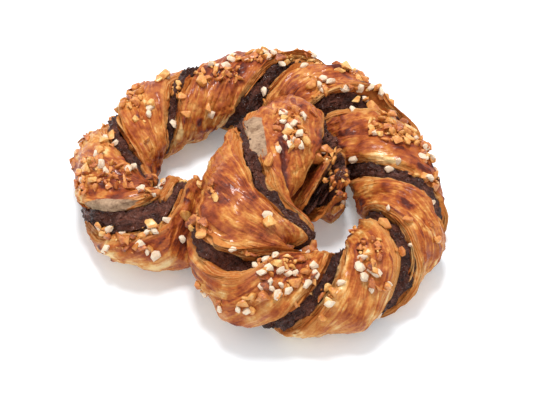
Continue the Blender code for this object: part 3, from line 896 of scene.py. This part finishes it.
def flake_grids(rope, settings, rng):
    """Thin flakes of dough that lift off along the cut edges, and the layers that came apart."""
    grids = []
    for first, last, half, edge, count, reach in OPEN_LAYERS:
        for number in range(count):
            start = first + rng.uniform(0, 0.25) * (last - first)
            end = last - rng.uniform(0, 0.25) * (last - first)
            middle = (start + end) / 2
            rim = cut_edge(rope, middle, half, edge)
            inward = 0.03 + 0.055 * number
            foot = (half * (rim + inward), edge * (DOUGH_EDGE - 0.10))
            crest = (half * (rim + inward - reach), edge * (DOUGH_EDGE + 0.015 + 0.028 * number))
            grids.append(fin(rope, start, end, foot, crest, 0.55, 0.05, rng.randrange(999)))
    for _ in range(settings.flakes):
        s = rng.uniform(12, rope.length - 12)
        length = rng.uniform(3, 11)
        half = rng.choice((1, -1))
        edge = rng.choice((1, -1))
        rim = cut_edge(rope, s, half, edge)
        inward = rng.uniform(0.0, 0.18)
        foot = (half * (rim + inward), edge * (DOUGH_EDGE - 0.05 - 0.25 * inward))
        lean = rng.uniform(-0.02, 0.07)
        crest = (foot[0] + half * lean, foot[1] + edge * rng.uniform(0.05, 0.11))
        thickness = rng.uniform(0.3, 0.6)
        grids.append(fin(rope, s, s + length, foot, crest, thickness, 0.03, rng.randrange(999)))
    return grids


# Chocolate.


def build_filling(name, rope, settings, finish):
    """The filling: a crumbly rim at the top and the bottom of the layers, and a thin core."""
    s = stations(rope, FILLING_FROM_END)[:, None]
    over = np.linspace(-1, 1, RIM_POINTS)[None, :]
    wide = rope.at(s, HALF_WIDTH)
    gap = 0.5 * GAP / wide
    core = CORE_THICKNESS / 2 / wide
    parts = {}
    for edge in (1, -1):
        right, left = (np.maximum(filling_edge(rope, s, half, edge), core) + gap for half in (1, -1))
        deep = sum(
            depth * window(s, middle, half_length)
            for middle, half_length, deep_edge, depth in DEEP_PLACES
            if deep_edge == edge
        )
        top = FILLING_EDGE - settings.filling_sink - deep / rope.at(s, HALF_HEIGHT)
        p = -left + (left + right) * (over + 1) / 2
        q = edge * (top + 0.04 * (1 - over**2)) * np.sqrt(1 - np.minimum(0.9 * p, 0.9) ** 2)
        parts[edge] = (p, q, {1: right, -1: left}, top)
    inward = np.linspace(1, 0, WALL_POINTS)[None, 1:-1]

    def wall(half, edge, share):
        rims, top = parts[edge][2:]
        return half * (core + (rims[half] - core) * share), edge * top * share

    # Once round: over the upper rim, down to the core and the lower rim, and up on the other side.
    outline = (
        parts[1][:2],
        wall(1, 1, inward),
        wall(1, -1, inward[:, ::-1]),
        [row[:, ::-1] for row in parts[-1][:2]],
        wall(-1, -1, inward),
        wall(-1, 1, inward[:, ::-1]),
    )
    p, q = (np.concatenate([stretch[i] for stretch in outline], axis=1) for i in (0, 1))
    size = rope.taper(s)
    grid = rope.press(rope.place(s, p * size, q * size, floor=FILLING_ABOVE_FLOOR), s)

    crumbs = np.abs(noise(grid / 1.9, 75)) + 0.3 * np.abs(noise(grid, 77))
    rise = settings.crumb_height * (0.9 * fractal(grid / 3.0, 3, 70) + 0.8 * crumbs - 0.3)
    rise = rise + 0.9 * noise(grid / 5.0, 78)
    furrow_way = p * wide / 1.25 + 1.1 * noise(grid / 4.0, 79)
    furrowed = np.stack([s / 7.0 + 0 * p, furrow_way, np.sign(q) * 5], -1)
    rise = rise - settings.furrow_depth * smoothstep(0.25, 0.0, np.abs(noise(furrowed, 80)))
    normal = surface_normals(grid)
    free = smoothstep(0.4, 2.5, grid[..., 2])
    shown = grid + normal * (rise * free)[..., None]
    shown[..., 2] = np.maximum(shown[..., 2], 0.1)
    made = new_piece(name, shown.reshape(-1, 3), tube_faces(*grid.shape[:2]), finish)
    # How high the chocolate stands, which its material paints lighter on crests and darker in hollows,
    # as painted light and shade.
    keep_values(made, crest=smoothstep(-0.5, 0.9, rise))
    face_outward(made)
    return made


def build_folds(name, rope, settings, finish):
    """Folded sheets of chocolate that stand up out of the filling."""
    rng = random.Random(settings.seed)
    grids = []
    for start, end, p, edge, height in CHOCOLATE_FOLDS:
        foot = (p, edge * 0.52)
        crest = (p + rng.uniform(-0.1, 0.1), edge * (0.80 + height))
        grids.append(fin(rope, start, end, foot, crest, 1.3, 0.14, rng.randrange(999)))
    for _ in range(settings.crumbs):
        s = rng.uniform(10, rope.length - 10)
        edge = rng.choice((1, -1))
        right, left = (float(filling_edge(rope, s, half, edge)) for half in (1, -1))
        p = rng.uniform(-left, right)
        foot = (p, edge * 0.72)
        crest = (p + rng.uniform(-0.04, 0.04), edge * rng.uniform(0.80, 0.87))
        length = rng.uniform(1.5, 5)
        thickness = rng.uniform(0.7, 1.4)
        grids.append(fin(rope, s, s + length, foot, crest, thickness, 0.05, rng.randrange(999)))
    # Each fold gets a crest value at random, which the chocolate's material turns into painted light.
    return join_grids(name, grids, finish, crest=[rng.uniform(0.3, 0.8) for _ in grids])


def build_spill(name, settings, finish):
    """Chocolate that ran together in the hollow beside the rope's end."""
    mesh = bmesh.new()
    for *place, radius in CHOCOLATE_SPILL:
        there = Matrix.Translation(Vector(place) * MM)
        bmesh.ops.create_icosphere(mesh, subdivisions=3, radius=radius * MM, matrix=there)
    data = bpy.data.meshes.new(name)
    mesh.to_mesh(data)
    mesh.free()
    made = bpy.data.objects.new(name, data)
    bpy.context.scene.collection.objects.link(made)
    fuse = made.modifiers.new("fuse", "REMESH")
    fuse.mode = "VOXEL"
    fuse.voxel_size = SPILL_VOXEL * MM
    graph = bpy.context.evaluated_depsgraph_get()
    fused = bpy.data.meshes.new_from_object(made.evaluated_get(graph))
    made.modifiers.clear()
    made.data = fused
    points, normals = np.empty((2, len(fused.vertices) * 3))
    fused.vertices.foreach_get("co", points)
    fused.vertices.foreach_get("normal", normals)
    points = points.reshape(-1, 3) / MM
    crumbs = np.abs(noise(points / 1.7, 75)) + 0.6 * np.abs(noise(points / 0.9, 77))
    rise = settings.crumb_height * (1.3 * fractal(points / 3.0, 3, 88) + 0.9 * crumbs - 0.3)
    points += normals.reshape(-1, 3) * rise[:, None]
    fused.vertices.foreach_set("co", (points * MM).reshape(-1))
    fused.materials.append(finish)
    fused.shade_smooth()
    # How high the chocolate stands, which its material paints lighter on crests and darker in hollows,
    # as painted light and shade.
    keep_values(made, crest=smoothstep(-0.3, 0.9, rise))
    return made


# Nuts and sugar.


def chopped_shape(rng, corners, flatness, worn, rounding=2):
    """Points and faces of one chopped piece, one unit long, with slightly worn edges. Its flatness
    is the least and the most of its width, and of its depth."""
    mesh = bmesh.new()
    width = rng.uniform(*flatness[0])
    depth = rng.uniform(*flatness[1])
    for _ in range(corners):
        way = Vector([rng.gauss(0, 1) for _ in range(3)]).normalized()
        reach = rng.uniform(0.72, 1.0) / 2
        mesh.verts.new((way.x * reach, way.y * reach * width, way.z * reach * depth))
    bmesh.ops.convex_hull(mesh, input=mesh.verts)
    inner = [vert for vert in mesh.verts if not vert.link_faces]
    bmesh.ops.delete(mesh, geom=inner, context="VERTS")
    bmesh.ops.dissolve_limit(mesh, angle_limit=0.25, verts=mesh.verts, edges=mesh.edges)
    bmesh.ops.bevel(
        mesh,
        geom=mesh.edges[:],
        offset=worn,
        segments=rounding,
        profile=0.6,
        affect="EDGES",
        clamp_overlap=True,
    )
    bmesh.ops.triangulate(mesh, faces=mesh.faces)
    bmesh.ops.recalc_face_normals(mesh, faces=mesh.faces)
    mesh.verts.index_update()
    points = np.array([vert.co[:] for vert in mesh.verts])
    faces = np.array([[vert.index for vert in face.verts] for face in mesh.faces])
    mesh.free()
    return points / np.ptp(points, axis=0).max(), faces


class Surface:
    """The finished dough and chocolate, for finding where a topping lies."""

    def __init__(self, pieces):
        graph = bpy.context.evaluated_depsgraph_get()
        self.trees = [BVHTree.FromObject(piece, graph) for piece in pieces]

    def nearest(self, point):
        """The nearest place on the surface, and its outward direction."""
        found = [tree.find_nearest(Vector(point) * MM) for tree in self.trees]
        place, normal, _, _ = min(found, key=lambda hit: hit[3])
        return np.array(place) / MM, np.array(normal)


def lay(rng, shapes, place, outward, size, sink):
    """One piece turned at random about the surface's outward direction, partly sunk in it."""
    points, faces = rng.choice(shapes)
    # One in four lies askew.
    lean = rng.choice((0.35, 0.35, 0.35, 1.0))
    tilt = Vector(outward) + Vector([rng.uniform(-lean, lean) for _ in range(3)])
    spin = Matrix.Rotation(rng.uniform(0, 2 * math.pi), 3, "Z")
    turned = tilt.to_track_quat("Z", "Y").to_matrix() @ spin
    laid = points @ np.array(turned).T * size
    height = laid @ outward
    return laid + place - outward * (height.min() + sink * np.ptp(height)), faces


def patches_out_of_sight(rope, rng):
    """Patches on the outer side at the back, where the photograph shows none."""
    rows = []
    for s in np.arange(*BACK_PATCHES):
        s = float(s) + rng.uniform(-4, 4)
        outward = rope.side(s) * float(rope.at(s, HALF_WIDTH)) * 0.95
        height = float(rope.at(s, HEIGHT)) + rng.uniform(-2, 9)
        x, y = float(rope.at(s, X)) + outward[0], float(rope.at(s, Y)) + outward[1]
        rows.append((x, y, height, 3.5, 3.5, rng.randint(1, 4), rng.choice((0, 0, 1))))
    return rows


def strew(surface, rng, kind, shapes, sizes, sink, patches):
    """Points, faces and tones of all the pieces of one kind, patch by patch."""
    points = []
    faces = []
    tones = []
    laid = []
    for x, y, z, reach_x, reach_y, nuts, nibs in patches:
        wanted = {"nut": round(NUTS_FOR_ONE * nuts), "nib": nibs, "crumb": CRUMBS_FOR_ONE * nuts}[kind]
        enough = len(laid) + wanted
        for _ in range(wanted * TRIES):
            if len(laid) == enough:
                break
            size = rng.triangular(*sizes)
            across = STREWN_REACH * reach_x * rng.uniform(-1, 1)
            along = STREWN_REACH * reach_y * rng.uniform(-1, 1)
            place, outward = surface.nearest((x + across, y + along, z + STREWN_FROM))
            if any(np.linalg.norm(place - there) < LEAST_ROOM * (size + long) for there, long in laid):
                continue
            laid.append((place, size))
            piece, piece_faces = lay(rng, shapes, place, outward, size, sink)
            faces.append(piece_faces + len(tones))
            points.append(piece)
            tones += [rng.triangular(0.05, 1.0, 0.52)] * len(piece)
    return np.vstack(points), np.vstack(faces).tolist(), tones


# Materials.


class Nodes:
    """Adds nodes to one tree and links them."""

    def __init__(self, tree):
        self.tree = tree

    def add(self, kind, inputs=(), **values):
        node = self.tree.nodes.new(kind)
        for name, value in values.items():
            setattr(node, name, value)
        self.feed(node, dict(inputs))
        return node

    def feed(self, node, inputs):
        """Links each input to a socket, or gives it a value."""
        for name, value in inputs.items():
            if isinstance(value, bpy.types.NodeSocket):
                self.tree.links.new(value, node.inputs[name])
            else:
                node.inputs[name].default_value = value

    def kept(self, name, output="Fac"):
        """A value that keep_values stored on the mesh."""
        return self.add("ShaderNodeAttribute", attribute_name=name).outputs[output]

    def place(self):
        """A point's place in the object, in metres."""
        return self.add("ShaderNodeTexCoord").outputs["Object"]

    def math(self, operation, a, b=0.0, clamp=False):
        return self.add("ShaderNodeMath", {0: a, 1: b}, operation=operation, use_clamp=clamp).outputs[0]

    def total(self, start, *parts):
        """The sum of a start and of parts, each given as a value, its factor and a constant."""
        for value, factor, constant in parts:
            scaled = self.math("MULTIPLY_ADD", value, factor)
            scaled.node.inputs[2].default_value = constant
            start = scaled if start is None else self.math("ADD", start, scaled)
        return start

    def mix(self, share, a, b):
        return self.add("ShaderNodeMix", {0: share, 6: a, 7: b}, data_type="RGBA").outputs[2]

    def ramp(self, share, stops):
        """Colours that follow a share, from stops in rising order."""
        node = self.add("ShaderNodeValToRGB", {0: share})
        elements = node.color_ramp.elements
        stops = list(stops)
        for place, _ in stops[2:]:
            elements.new(place)
        for element, (place, color) in zip(elements, stops):
            element.position = place
            element.color = (*color[:3], 1)
        return node.outputs[0]

    def bump(self, height, strength, distance):
        """A surface direction with low relief, as deep as distance in metres."""
        given = {"Height": height, "Strength": strength, "Distance": distance}
        return self.add("ShaderNodeBump", given).outputs[0]


def mottle_group():
    """Blotches between 0 and 1, with their own size and sharpness."""
    if "mottle" in bpy.data.node_groups:
        return bpy.data.node_groups["mottle"]
    tree = bpy.data.node_groups.new("mottle", "ShaderNodeTree")
    for name, kind, default in (
        ("Vector", "NodeSocketVector", None),
        ("Scale", "NodeSocketFloat", 100.0),
        ("Low", "NodeSocketFloat", 0.4),
        ("High", "NodeSocketFloat", 0.6),
    ):
        socket = tree.interface.new_socket(name, in_out="INPUT", socket_type=kind)
        if default is not None:
            socket.default_value = default
    tree.interface.new_socket("Mask", in_out="OUTPUT", socket_type="NodeSocketFloat")
    nodes = Nodes(tree)
    given = nodes.add("NodeGroupInput").outputs
    spots = nodes.add(
        "ShaderNodeTexNoise",
        {"Vector": given["Vector"], "Scale": given["Scale"], "Detail": 4.0, "Roughness": 0.6},
    )
    mask = nodes.add(
        "ShaderNodeMapRange",
        {"Value": spots.outputs[0], "From Min": given["Low"], "From Max": given["High"]},
    )
    nodes.add("NodeGroupOutput", {"Mask": mask.outputs[0]})
    return tree


def mottle(nodes, vector, scale, low, high):
    """The mask of a mottle group placed in a material."""
    node = nodes.add("ShaderNodeGroup", node_tree=mottle_group())
    nodes.feed(node, {"Vector": vector, "Scale": scale, "Low": low, "High": high})
    return node.outputs["Mask"]


def new_material(name):
    """A material, its nodes and its shader."""
    made = bpy.data.materials.new(name)
    made.use_nodes = True
    nodes = Nodes(made.node_tree)
    return made, nodes, made.node_tree.nodes["Principled BSDF"]


def crust_material(colours):
    """Glazed crust from golden to dark, pale layers at the cut edges, and bare dough."""
    made, nodes, shader = new_material("baked_crust")
    place = nodes.place()
    strand = nodes.kept("strand", "Vector")
    bake, flaky, step, bare = (nodes.kept(name) for name in ("bake", "flaky", "step", "bare"))
    # Distances over the crust in mm, drawn out along the strand.
    streaky = nodes.add("ShaderNodeMapping", {"Vector": strand, "Scale": (0.06, 0.45, 1.0)}).outputs[0]
    fine_way = nodes.add("ShaderNodeMapping", {"Vector": strand, "Scale": (0.16, 1.9, 1.0)}).outputs[0]
    streaks = mottle(nodes, streaky, 1.0, 0.3, 0.7)
    lines = mottle(nodes, fine_way, 1.0, 0.32, 0.68)
    clouds = mottle(nodes, place, 55.0, 0.32, 0.68)
    blotches = mottle(nodes, place, 170.0, 0.38, 0.62)
    dark = mottle(nodes, place, 120.0, 0.58, 0.72)
    freckles = mottle(nodes, place, 850.0, 0.35, 0.70)

    # The tone also carries the painted shade kept on the strands' points, which the ramp turns darker.
    tone = nodes.total(
        bake,
        (streaks, 0.12, -0.06),
        (clouds, 0.40, -0.20),
        (blotches, 0.26, -0.13),
        (lines, 0.03, -0.015),
        (freckles, 0.10, -0.05),
        (dark, 0.24, 0.0),
    )
    browning = (
        colours.dough_pale,
        colours.crust_light,
        colours.crust,
        colours.crust_brown,
        colours.crust_dark,
    )
    color = nodes.ramp(tone, zip((0.0, 0.26, 0.50, 0.72, 1.0), browning))
    # The layers at the cut edges don't reach the darkest tone.
    layered = nodes.ramp(step, zip((0.0, 0.45, 0.80, 0.97), browning))
    layered = nodes.mix(nodes.math("MULTIPLY", lines, 0.35), layered, colours.crust)
    layered = nodes.mix(nodes.math("MULTIPLY", clouds, 0.7), layered, colours.crust)
    share = nodes.math("MULTIPLY", flaky, nodes.total(None, (blotches, 0.35, 0.58)))
    color = nodes.mix(share, color, layered)
    specks = nodes.total(None, (freckles, 0.6, 0), (mottle(nodes, place, 300.0, 0.45, 0.65), 0.5, 0))
    dusty = nodes.mix(specks, colours.bare_dough, colours.bare_dough_dark)
    color = nodes.mix(nodes.math("MULTIPLY", bare, 0.92), color, dusty)

    glazed = mottle(nodes, place, 95.0, 0.44, 0.60)
    coat = nodes.total(None, (glazed, 0.42, 0.06), (flaky, -0.3, 0), (bare, -0.6, 0))
    lined = nodes.math("MULTIPLY", lines, flaky)
    pits = mottle(nodes, place, 430.0, 0.36, 0.64)
    height = nodes.total(None, (lined, 0.6, 0), (freckles, 0.4, 0), (blotches, 0.8, 0), (pits, 0.9, 0))
    surface = {
        "Base Color": color,
        "Roughness": nodes.total(None, (blotches, 0.25, 0.34), (flaky, 0.2, 0), (bare, 0.4, 0)),
        "Coat Weight": nodes.math("ADD", coat, 0.0, clamp=True),
        "Coat Roughness": 0.14,
        "Specular IOR Level": 0.14,
        "Normal": nodes.bump(height, 0.6, 0.0006),
    }
    nodes.feed(shader, surface)
    return made


def chocolate_material(colours):
    """Baked chocolate: painted shade in hollows, drier crumbs and painted light on crests, a few wet
    places.
    """
    made, nodes, shader = new_material("baked_chocolate")
    place = nodes.place()
    patches = mottle(nodes, place, 190.0, 0.40, 0.60)
    wet = mottle(nodes, place, 330.0, 0.42, 0.58)
    grains = mottle(nodes, place, 760.0, 0.38, 0.66)
    crest = nodes.kept("crest")
    # Crests painted lighter and hollows darker, as painted light and shade, over patches of darker and
    # lighter chocolate.
    lit_and_patchy = nodes.total(None, (crest, 0.75, 0), (patches, 0.35, 0))
    color = nodes.mix(lit_and_patchy, colours.chocolate_shaded, colours.chocolate)
    # Drier crumbs on the crests, which also paints them lighter, as painted light.
    dry_and_lit = nodes.math("MULTIPLY", nodes.math("MULTIPLY", grains, crest), 0.5)
    height = nodes.total(None, (grains, 0.7, 0), (wet, 1.0, 0))
    surface = {
        "Base Color": nodes.mix(dry_and_lit, color, colours.chocolate_dry_and_lit),
        "Roughness": nodes.total(None, (wet, 0.45, 0.13)),
        "Specular IOR Level": 0.48,
        "Normal": nodes.bump(height, 1.0, 0.0012),
    }
    nodes.feed(shader, surface)
    return made


def nut_material(colours):
    """Roasted nuts, each with its own tone."""
    made, nodes, shader = new_material("roasted_nuts")
    place = nodes.place()
    spots = mottle(nodes, place, 520.0, 0.40, 0.66)
    grain = mottle(nodes, place, 2200.0, 0.35, 0.70)
    tone = nodes.total(nodes.kept("tone"), (spots, 0.40, -0.18), (grain, 0.16, -0.08))
    roasting = (
        colours.nut_pale,
        colours.nut_golden,
        colours.nut,
        colours.nut_brown,
        colours.nut_dark,
    )
    surface = {
        "Base Color": nodes.ramp(tone, zip((0.0, 0.30, 0.62, 0.84, 1.0), roasting)),
        "Roughness": 0.38,
        "Coat Weight": 0.35,
        "Coat Roughness": 0.18,
        "Normal": nodes.bump(grain, 0.5, 0.0003),
    }
    nodes.feed(shader, surface)
    return made


def sugar_material(colours):
    """Pearl sugar that took up some glaze and lets a little light through."""
    made, nodes, shader = new_material("pearl_sugar")
    place = nodes.place()
    tinge = mottle(nodes, place, 300.0, 0.35, 0.70)
    grain = mottle(nodes, place, 2600.0, 0.35, 0.70)
    surface = {
        "Base Color": nodes.mix(nodes.math("MULTIPLY", tinge, 0.6), colours.sugar, colours.sugar_warm),
        "Roughness": 0.45,
        "Subsurface Weight": 0.25,
        "Subsurface Radius": (0.0012, 0.0009, 0.0007),
        "Normal": nodes.bump(grain, 0.6, 0.0003),
    }
    nodes.feed(shader, surface)
    return made


def floor_material():
    """A plain pale floor that gives a little light of its own."""
    made, nodes, shader = new_material("pale_floor")
    surface = {
        "Base Color": (0.86, 0.90, 0.94, 1),
        "Roughness": 0.9,
        "Specular IOR Level": 0.1,
        "Emission Color": (1, 1, 1, 1),
        "Emission Strength": FLOOR_GLOW,
    }
    nodes.feed(shader, surface)
    return made


# Settings.


def length_mm(name, default, description):
    return FloatProperty(name=name, default=default, description=description + ", in mm", min=0)


def fraction(name, default, description):
    return FloatProperty(
        name=name, default=default, description=description, subtype="FACTOR", min=0, max=1
    )


def settings_of(kind, name, description):
    return PointerProperty(type=kind, name=name, description=description)


def colour(name, default, description):
    return FloatVectorProperty(
        name=name, default=(*default, 1), size=4, subtype="COLOR", min=0, max=1, description=description
    )


class DoughSettings(bpy.types.PropertyGroup):
    edge_dip: fraction("Edge dip", 0.09, "How far the crust rolls in at the filling")
    flaky_width: length_mm("Flaky width", 5.0, "Width of the flaky band along each cut edge")
    layer_spacing: length_mm("Layer spacing", 1.25, "From the end of one flaky layer to the next")
    layer_depth: length_mm("Layer depth", 0.6, "How deep one flaky layer ends over the next")
    wrinkle_depth: length_mm("Wrinkle depth", 0.34, "Depth of the wrinkles along the strands")
    blister_height: length_mm("Blister height", 1.7, "Height of the blisters on the crust")
    hidden_height: length_mm("Hidden height", 1.5, "Height of pieces that lie hidden in the glaze")
    torn_sheets: FloatProperty(
        name="Torn sheets", default=1.9, min=0, description="How many outermost sheets overlap"
    )
    sheet_height: length_mm("Sheet height", 0.34, "Height of one torn outermost sheet")
    flakes: IntProperty(name="Flakes", default=150, min=0, description="Thin flakes along the cut edges")
    seed: IntProperty(name="Seed", default=5, description="Which flakes lift off")


class ChocolateSettings(bpy.types.PropertyGroup):
    filling_sink: fraction("Sink", 0.015, "How far the filling lies below its solid")
    crumb_height: length_mm("Crumb height", 1.5, "Height of the crumbs on the chocolate")
    furrow_depth: length_mm("Furrow depth", 1.25, "Depth of the furrows along the filling")
    crumbs: IntProperty(name="Crumbs", default=140, min=0, description="Small crests out of the filling")
    seed: IntProperty(name="Seed", default=3, description="Where the crests stand")


class ToppingSettings(bpy.types.PropertyGroup):
    nut_shapes: IntProperty(name="Nut shapes", default=26, min=1, description="Different nuts")
    nib_shapes: IntProperty(name="Nib shapes", default=9, min=1, description="Different sugar nibs")
    crumb_shapes: IntProperty(name="Crumb shapes", default=8, min=1, description="Different crumbs")
    least_nut: length_mm("Smallest nut", 2.4, "Length of the smallest chopped nut")
    common_nut: length_mm("Common nut", 4.0, "Length of most chopped nuts")
    largest_nut: length_mm("Largest nut", 6.2, "Length of the largest chopped nut")
    least_nib: length_mm("Smallest sugar nib", 2.8, "Length of the smallest sugar nib")
    largest_nib: length_mm("Largest sugar nib", 4.9, "Length of the largest sugar nib")
    sink: fraction("Sink", 0.26, "Share of a piece that lies in the glaze")
    seed: IntProperty(name="Seed", default=8, description="How the pieces fell")


class ColourSettings(bpy.types.PropertyGroup):
    dough_pale: colour("Pale dough", (0.83, 0.58, 0.26), "Cut edges and the least baked dough")
    crust_light: colour("Light crust", (0.64, 0.272, 0.063), "Lightly baked crust")
    crust: colour("Crust", (0.46, 0.122, 0.022), "Golden crust")
    crust_brown: colour("Brown crust", (0.29, 0.054, 0.014), "Well baked crust")
    crust_dark: colour("Dark crust", (0.095, 0.017, 0.010), "The darkest spots")
    bare_dough: colour("Bare dough", (0.50, 0.345, 0.225), "Dough without glaze beside the filling")
    bare_dough_dark: colour("Specked bare dough", (0.17, 0.105, 0.065), "Specks on the bare dough")
    chocolate: colour("Chocolate", (0.200, 0.058, 0.034), "Baked chocolate")
    # Painted shade: the colour of the hollows between the crumbs.
    chocolate_shaded: colour("Chocolate in shade", (0.050, 0.012, 0.006), "Chocolate between crumbs")
    # Dry crumbs on the crests, partly painted light.
    chocolate_dry_and_lit: colour("Dry and lit chocolate", (0.33, 0.140, 0.095), "Dry crumbs of chocolate")
    nut_pale: colour("Pale nut", (0.82, 0.52, 0.18), "The palest chopped nuts")
    nut_golden: colour("Golden nut", (0.74, 0.32, 0.065), "Golden chopped nuts")
    nut: colour("Nut", (0.57, 0.170, 0.030), "Roasted nuts")
    nut_brown: colour("Brown nut", (0.37, 0.082, 0.016), "Well roasted nuts")
    nut_dark: colour("Dark nut", (0.16, 0.032, 0.009), "The darkest sides of nuts")
    sugar: colour("Sugar", (0.90, 0.75, 0.57), "Pearl sugar")
    sugar_warm: colour("Warm sugar", (0.68, 0.43, 0.24), "Sugar that took up some glaze")


class PretzelSettings(bpy.types.PropertyGroup):
    dough: settings_of(DoughSettings, "Dough", "Sizes of the dough's relief")
    chocolate: settings_of(ChocolateSettings, "Chocolate", "Sizes of the chocolate's relief")
    toppings: settings_of(ToppingSettings, "Toppings", "Sizes of the nuts and the sugar")
    colours: settings_of(ColourSettings, "Colours", "Colours of the dough, chocolate, nuts and sugar")


# Operators.


def dress(piece, replaced):
    """Tells the frame what a piece is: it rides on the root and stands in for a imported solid."""
    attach(piece, "root")
    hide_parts(replaced)


class PRETZEL_OT_dough(bpy.types.Operator):
    """Build the two dough strands"""

    bl_idname = "pretzel.dough"
    bl_label = "Dough strands"

    def execute(self, context):
        settings = context.scene.pretzel
        rope = Rope()
        finish = crust_material(settings.colours)
        for name, half in STRANDS.items():
            dress(build_strand(name, rope, half, settings.dough, finish), "pastry")
        return {"FINISHED"}


class PRETZEL_OT_flakes(bpy.types.Operator):
    """Lift thin flakes along the cut edges of the dough"""

    bl_idname = "pretzel.flakes"
    bl_label = "Flakes"

    def execute(self, context):
        settings = context.scene.pretzel
        rng = random.Random(settings.dough.seed)
        grids = flake_grids(Rope(), settings.dough, rng)
        finish = bpy.data.materials["baked_crust"]
        bakes = [rng.uniform(0.15, 0.55) for _ in grids]
        flaky = [rng.uniform(0.4, 1.0) for _ in grids]
        piece = join_grids("dough_flakes", grids, finish, bake=bakes, flaky=flaky, step=flaky)
        dress(piece, "pastry")
        return {"FINISHED"}


class PRETZEL_OT_chocolate(bpy.types.Operator):
    """Build the chocolate filling, its folds and the chocolate that ran together"""

    bl_idname = "pretzel.chocolate"
    bl_label = "Chocolate"

    def execute(self, context):
        settings = context.scene.pretzel
        rope = Rope()
        finish = chocolate_material(settings.colours)
        for piece in (
            build_filling("chocolate_layer", rope, settings.chocolate, finish),
            build_folds("chocolate_folds", rope, settings.chocolate, finish),
            build_spill("chocolate_spill", settings.chocolate, finish),
        ):
            dress(piece, "chocolate_filling")
        return {"FINISHED"}


class PRETZEL_OT_toppings(bpy.types.Operator):
    """Strew chopped nuts, sugar nibs and crumbs of nuts over the crust"""

    bl_idname = "pretzel.toppings"
    bl_label = "Nuts and sugar"

    def execute(self, context):
        settings = context.scene.pretzel
        given = settings.toppings
        rng = random.Random(given.seed)
        surface = Surface([bpy.data.objects[name] for name in UNDER_TOPPINGS])
        patches = [*TOPPINGS, *patches_out_of_sight(Rope(), rng)]
        nuts = [
            chopped_shape(rng, rng.randint(8, 13), ((0.55, 0.9), (0.45, 0.8)), 0.055)
            for _ in range(given.nut_shapes)
        ]
        nibs = [
            chopped_shape(rng, 18, ((0.55, 0.9), (0.5, 0.8)), 0.06) for _ in range(given.nib_shapes)
        ]
        crumbs = [
            chopped_shape(rng, 9, ((0.5, 0.9), (0.4, 0.8)), 0.05, rounding=1)
            for _ in range(given.crumb_shapes)
        ]
        roasted = nut_material(settings.colours)
        sugar = sugar_material(settings.colours)
        # The least, the largest and the most common length of each kind.
        nut_lengths = (given.least_nut, given.largest_nut, given.common_nut)
        nib_lengths = (given.least_nib, given.largest_nib, given.least_nib * COMMON_NIB)
        for name, kind, shapes, lengths, finish in (
            ("chopped_nuts", "nut", nuts, nut_lengths, roasted),
            ("sugar_nibs", "nib", nibs, nib_lengths, sugar),
            ("nut_crumbs", "crumb", crumbs, CRUMB_LENGTHS, roasted),
        ):
            points, faces, tones = strew(surface, rng, kind, shapes, lengths, given.sink, patches)
            piece = new_piece(name, points, faces, finish)
            keep_values(piece, tone=tones)
            piece.data.set_sharp_from_angle(angle=math.radians(40))
            dress(piece, "pastry")
        return {"FINISHED"}


def put_in_scene(name, data, place, way):
    """An object at a place, which faces the way that is given."""
    made = bpy.data.objects.new(name, data)
    bpy.context.scene.collection.objects.link(made)
    made.location = place
    made.rotation_euler = way.to_track_quat("-Z", "Y").to_euler()
    return made


class PRETZEL_OT_stage(bpy.types.Operator):
    """Lay a pale floor, light it softly and place the camera"""

    bl_idname = "pretzel.stage"
    bl_label = "Stage"

    def execute(self, context):
        scene = context.scene
        bpy.ops.mesh.primitive_circle_add(vertices=96, radius=FLOOR_RADIUS, fill_type="NGON")
        floor = context.object
        floor.name = "floor"
        floor.data.materials.append(floor_material())

        world = bpy.data.worlds.new("studio")
        world.use_nodes = True
        background = world.node_tree.nodes["Background"]
        background.inputs["Color"].default_value = (1, 1, 1, 1)
        background.inputs["Strength"].default_value = STUDIO_STRENGTH
        scene.world = world
        lamp = bpy.data.lights.new("key", "AREA")
        lamp.energy = LAMP_POWER
        lamp.size = LAMP_SIZE
        put_in_scene("key", lamp, LAMP_PLACE, -Vector(LAMP_PLACE))

        lens = bpy.data.cameras.new("camera")
        lens.sensor_width = SENSOR_WIDTH
        lens.lens = CAMERA_LENS
        lens.shift_y = CAMERA_SHIFT_Y
        lift = math.radians(CAMERA_ELEVATION)
        back = Vector((0, -math.cos(lift), math.sin(lift)))
        place = Vector(CAMERA_AIM) + back * CAMERA_DISTANCE
        scene.camera = put_in_scene("camera", lens, place, -back)
        scene.view_settings.view_transform = "Standard"
        scene.cycles.diffuse_bounces = 3
        return {"FINISHED"}


class PRETZEL_PT_panel(bpy.types.Panel):
    """Steps and settings of the chocolate danish pretzel"""

    bl_label = "Chocolate danish pretzel"
    bl_idname = "PRETZEL_PT_panel"
    bl_space_type = "VIEW_3D"
    bl_region_type = "UI"
    bl_category = "Pretzel"

    def draw(self, context):
        settings = context.scene.pretzel
        for step in STEPS:
            self.layout.operator(step.bl_idname)
        for group in (settings.dough, settings.chocolate, settings.toppings, settings.colours):
            box = self.layout.box()
            for name in group.bl_rna.properties.keys():
                if name not in ("rna_type", "name"):
                    box.prop(group, name)


STEPS = (
    PRETZEL_OT_dough,
    PRETZEL_OT_flakes,
    PRETZEL_OT_chocolate,
    PRETZEL_OT_toppings,
    PRETZEL_OT_stage,
)
CLASSES = (
    DoughSettings,
    ChocolateSettings,
    ToppingSettings,
    ColourSettings,
    PretzelSettings,
    *STEPS,
    PRETZEL_PT_panel,
)


def register():
    for cls in CLASSES:
        bpy.utils.register_class(cls)
    bpy.types.Scene.pretzel = PointerProperty(type=PretzelSettings)


def unregister():
    del bpy.types.Scene.pretzel
    for cls in reversed(CLASSES):
        bpy.utils.unregister_class(cls)


def main():
    register()
    bpy.ops.pretzel.dough()
    bpy.ops.pretzel.flakes()
    bpy.ops.pretzel.chocolate()
    bpy.ops.pretzel.toppings()
    bpy.ops.pretzel.stage()


if __name__ == "__main__":
    main()
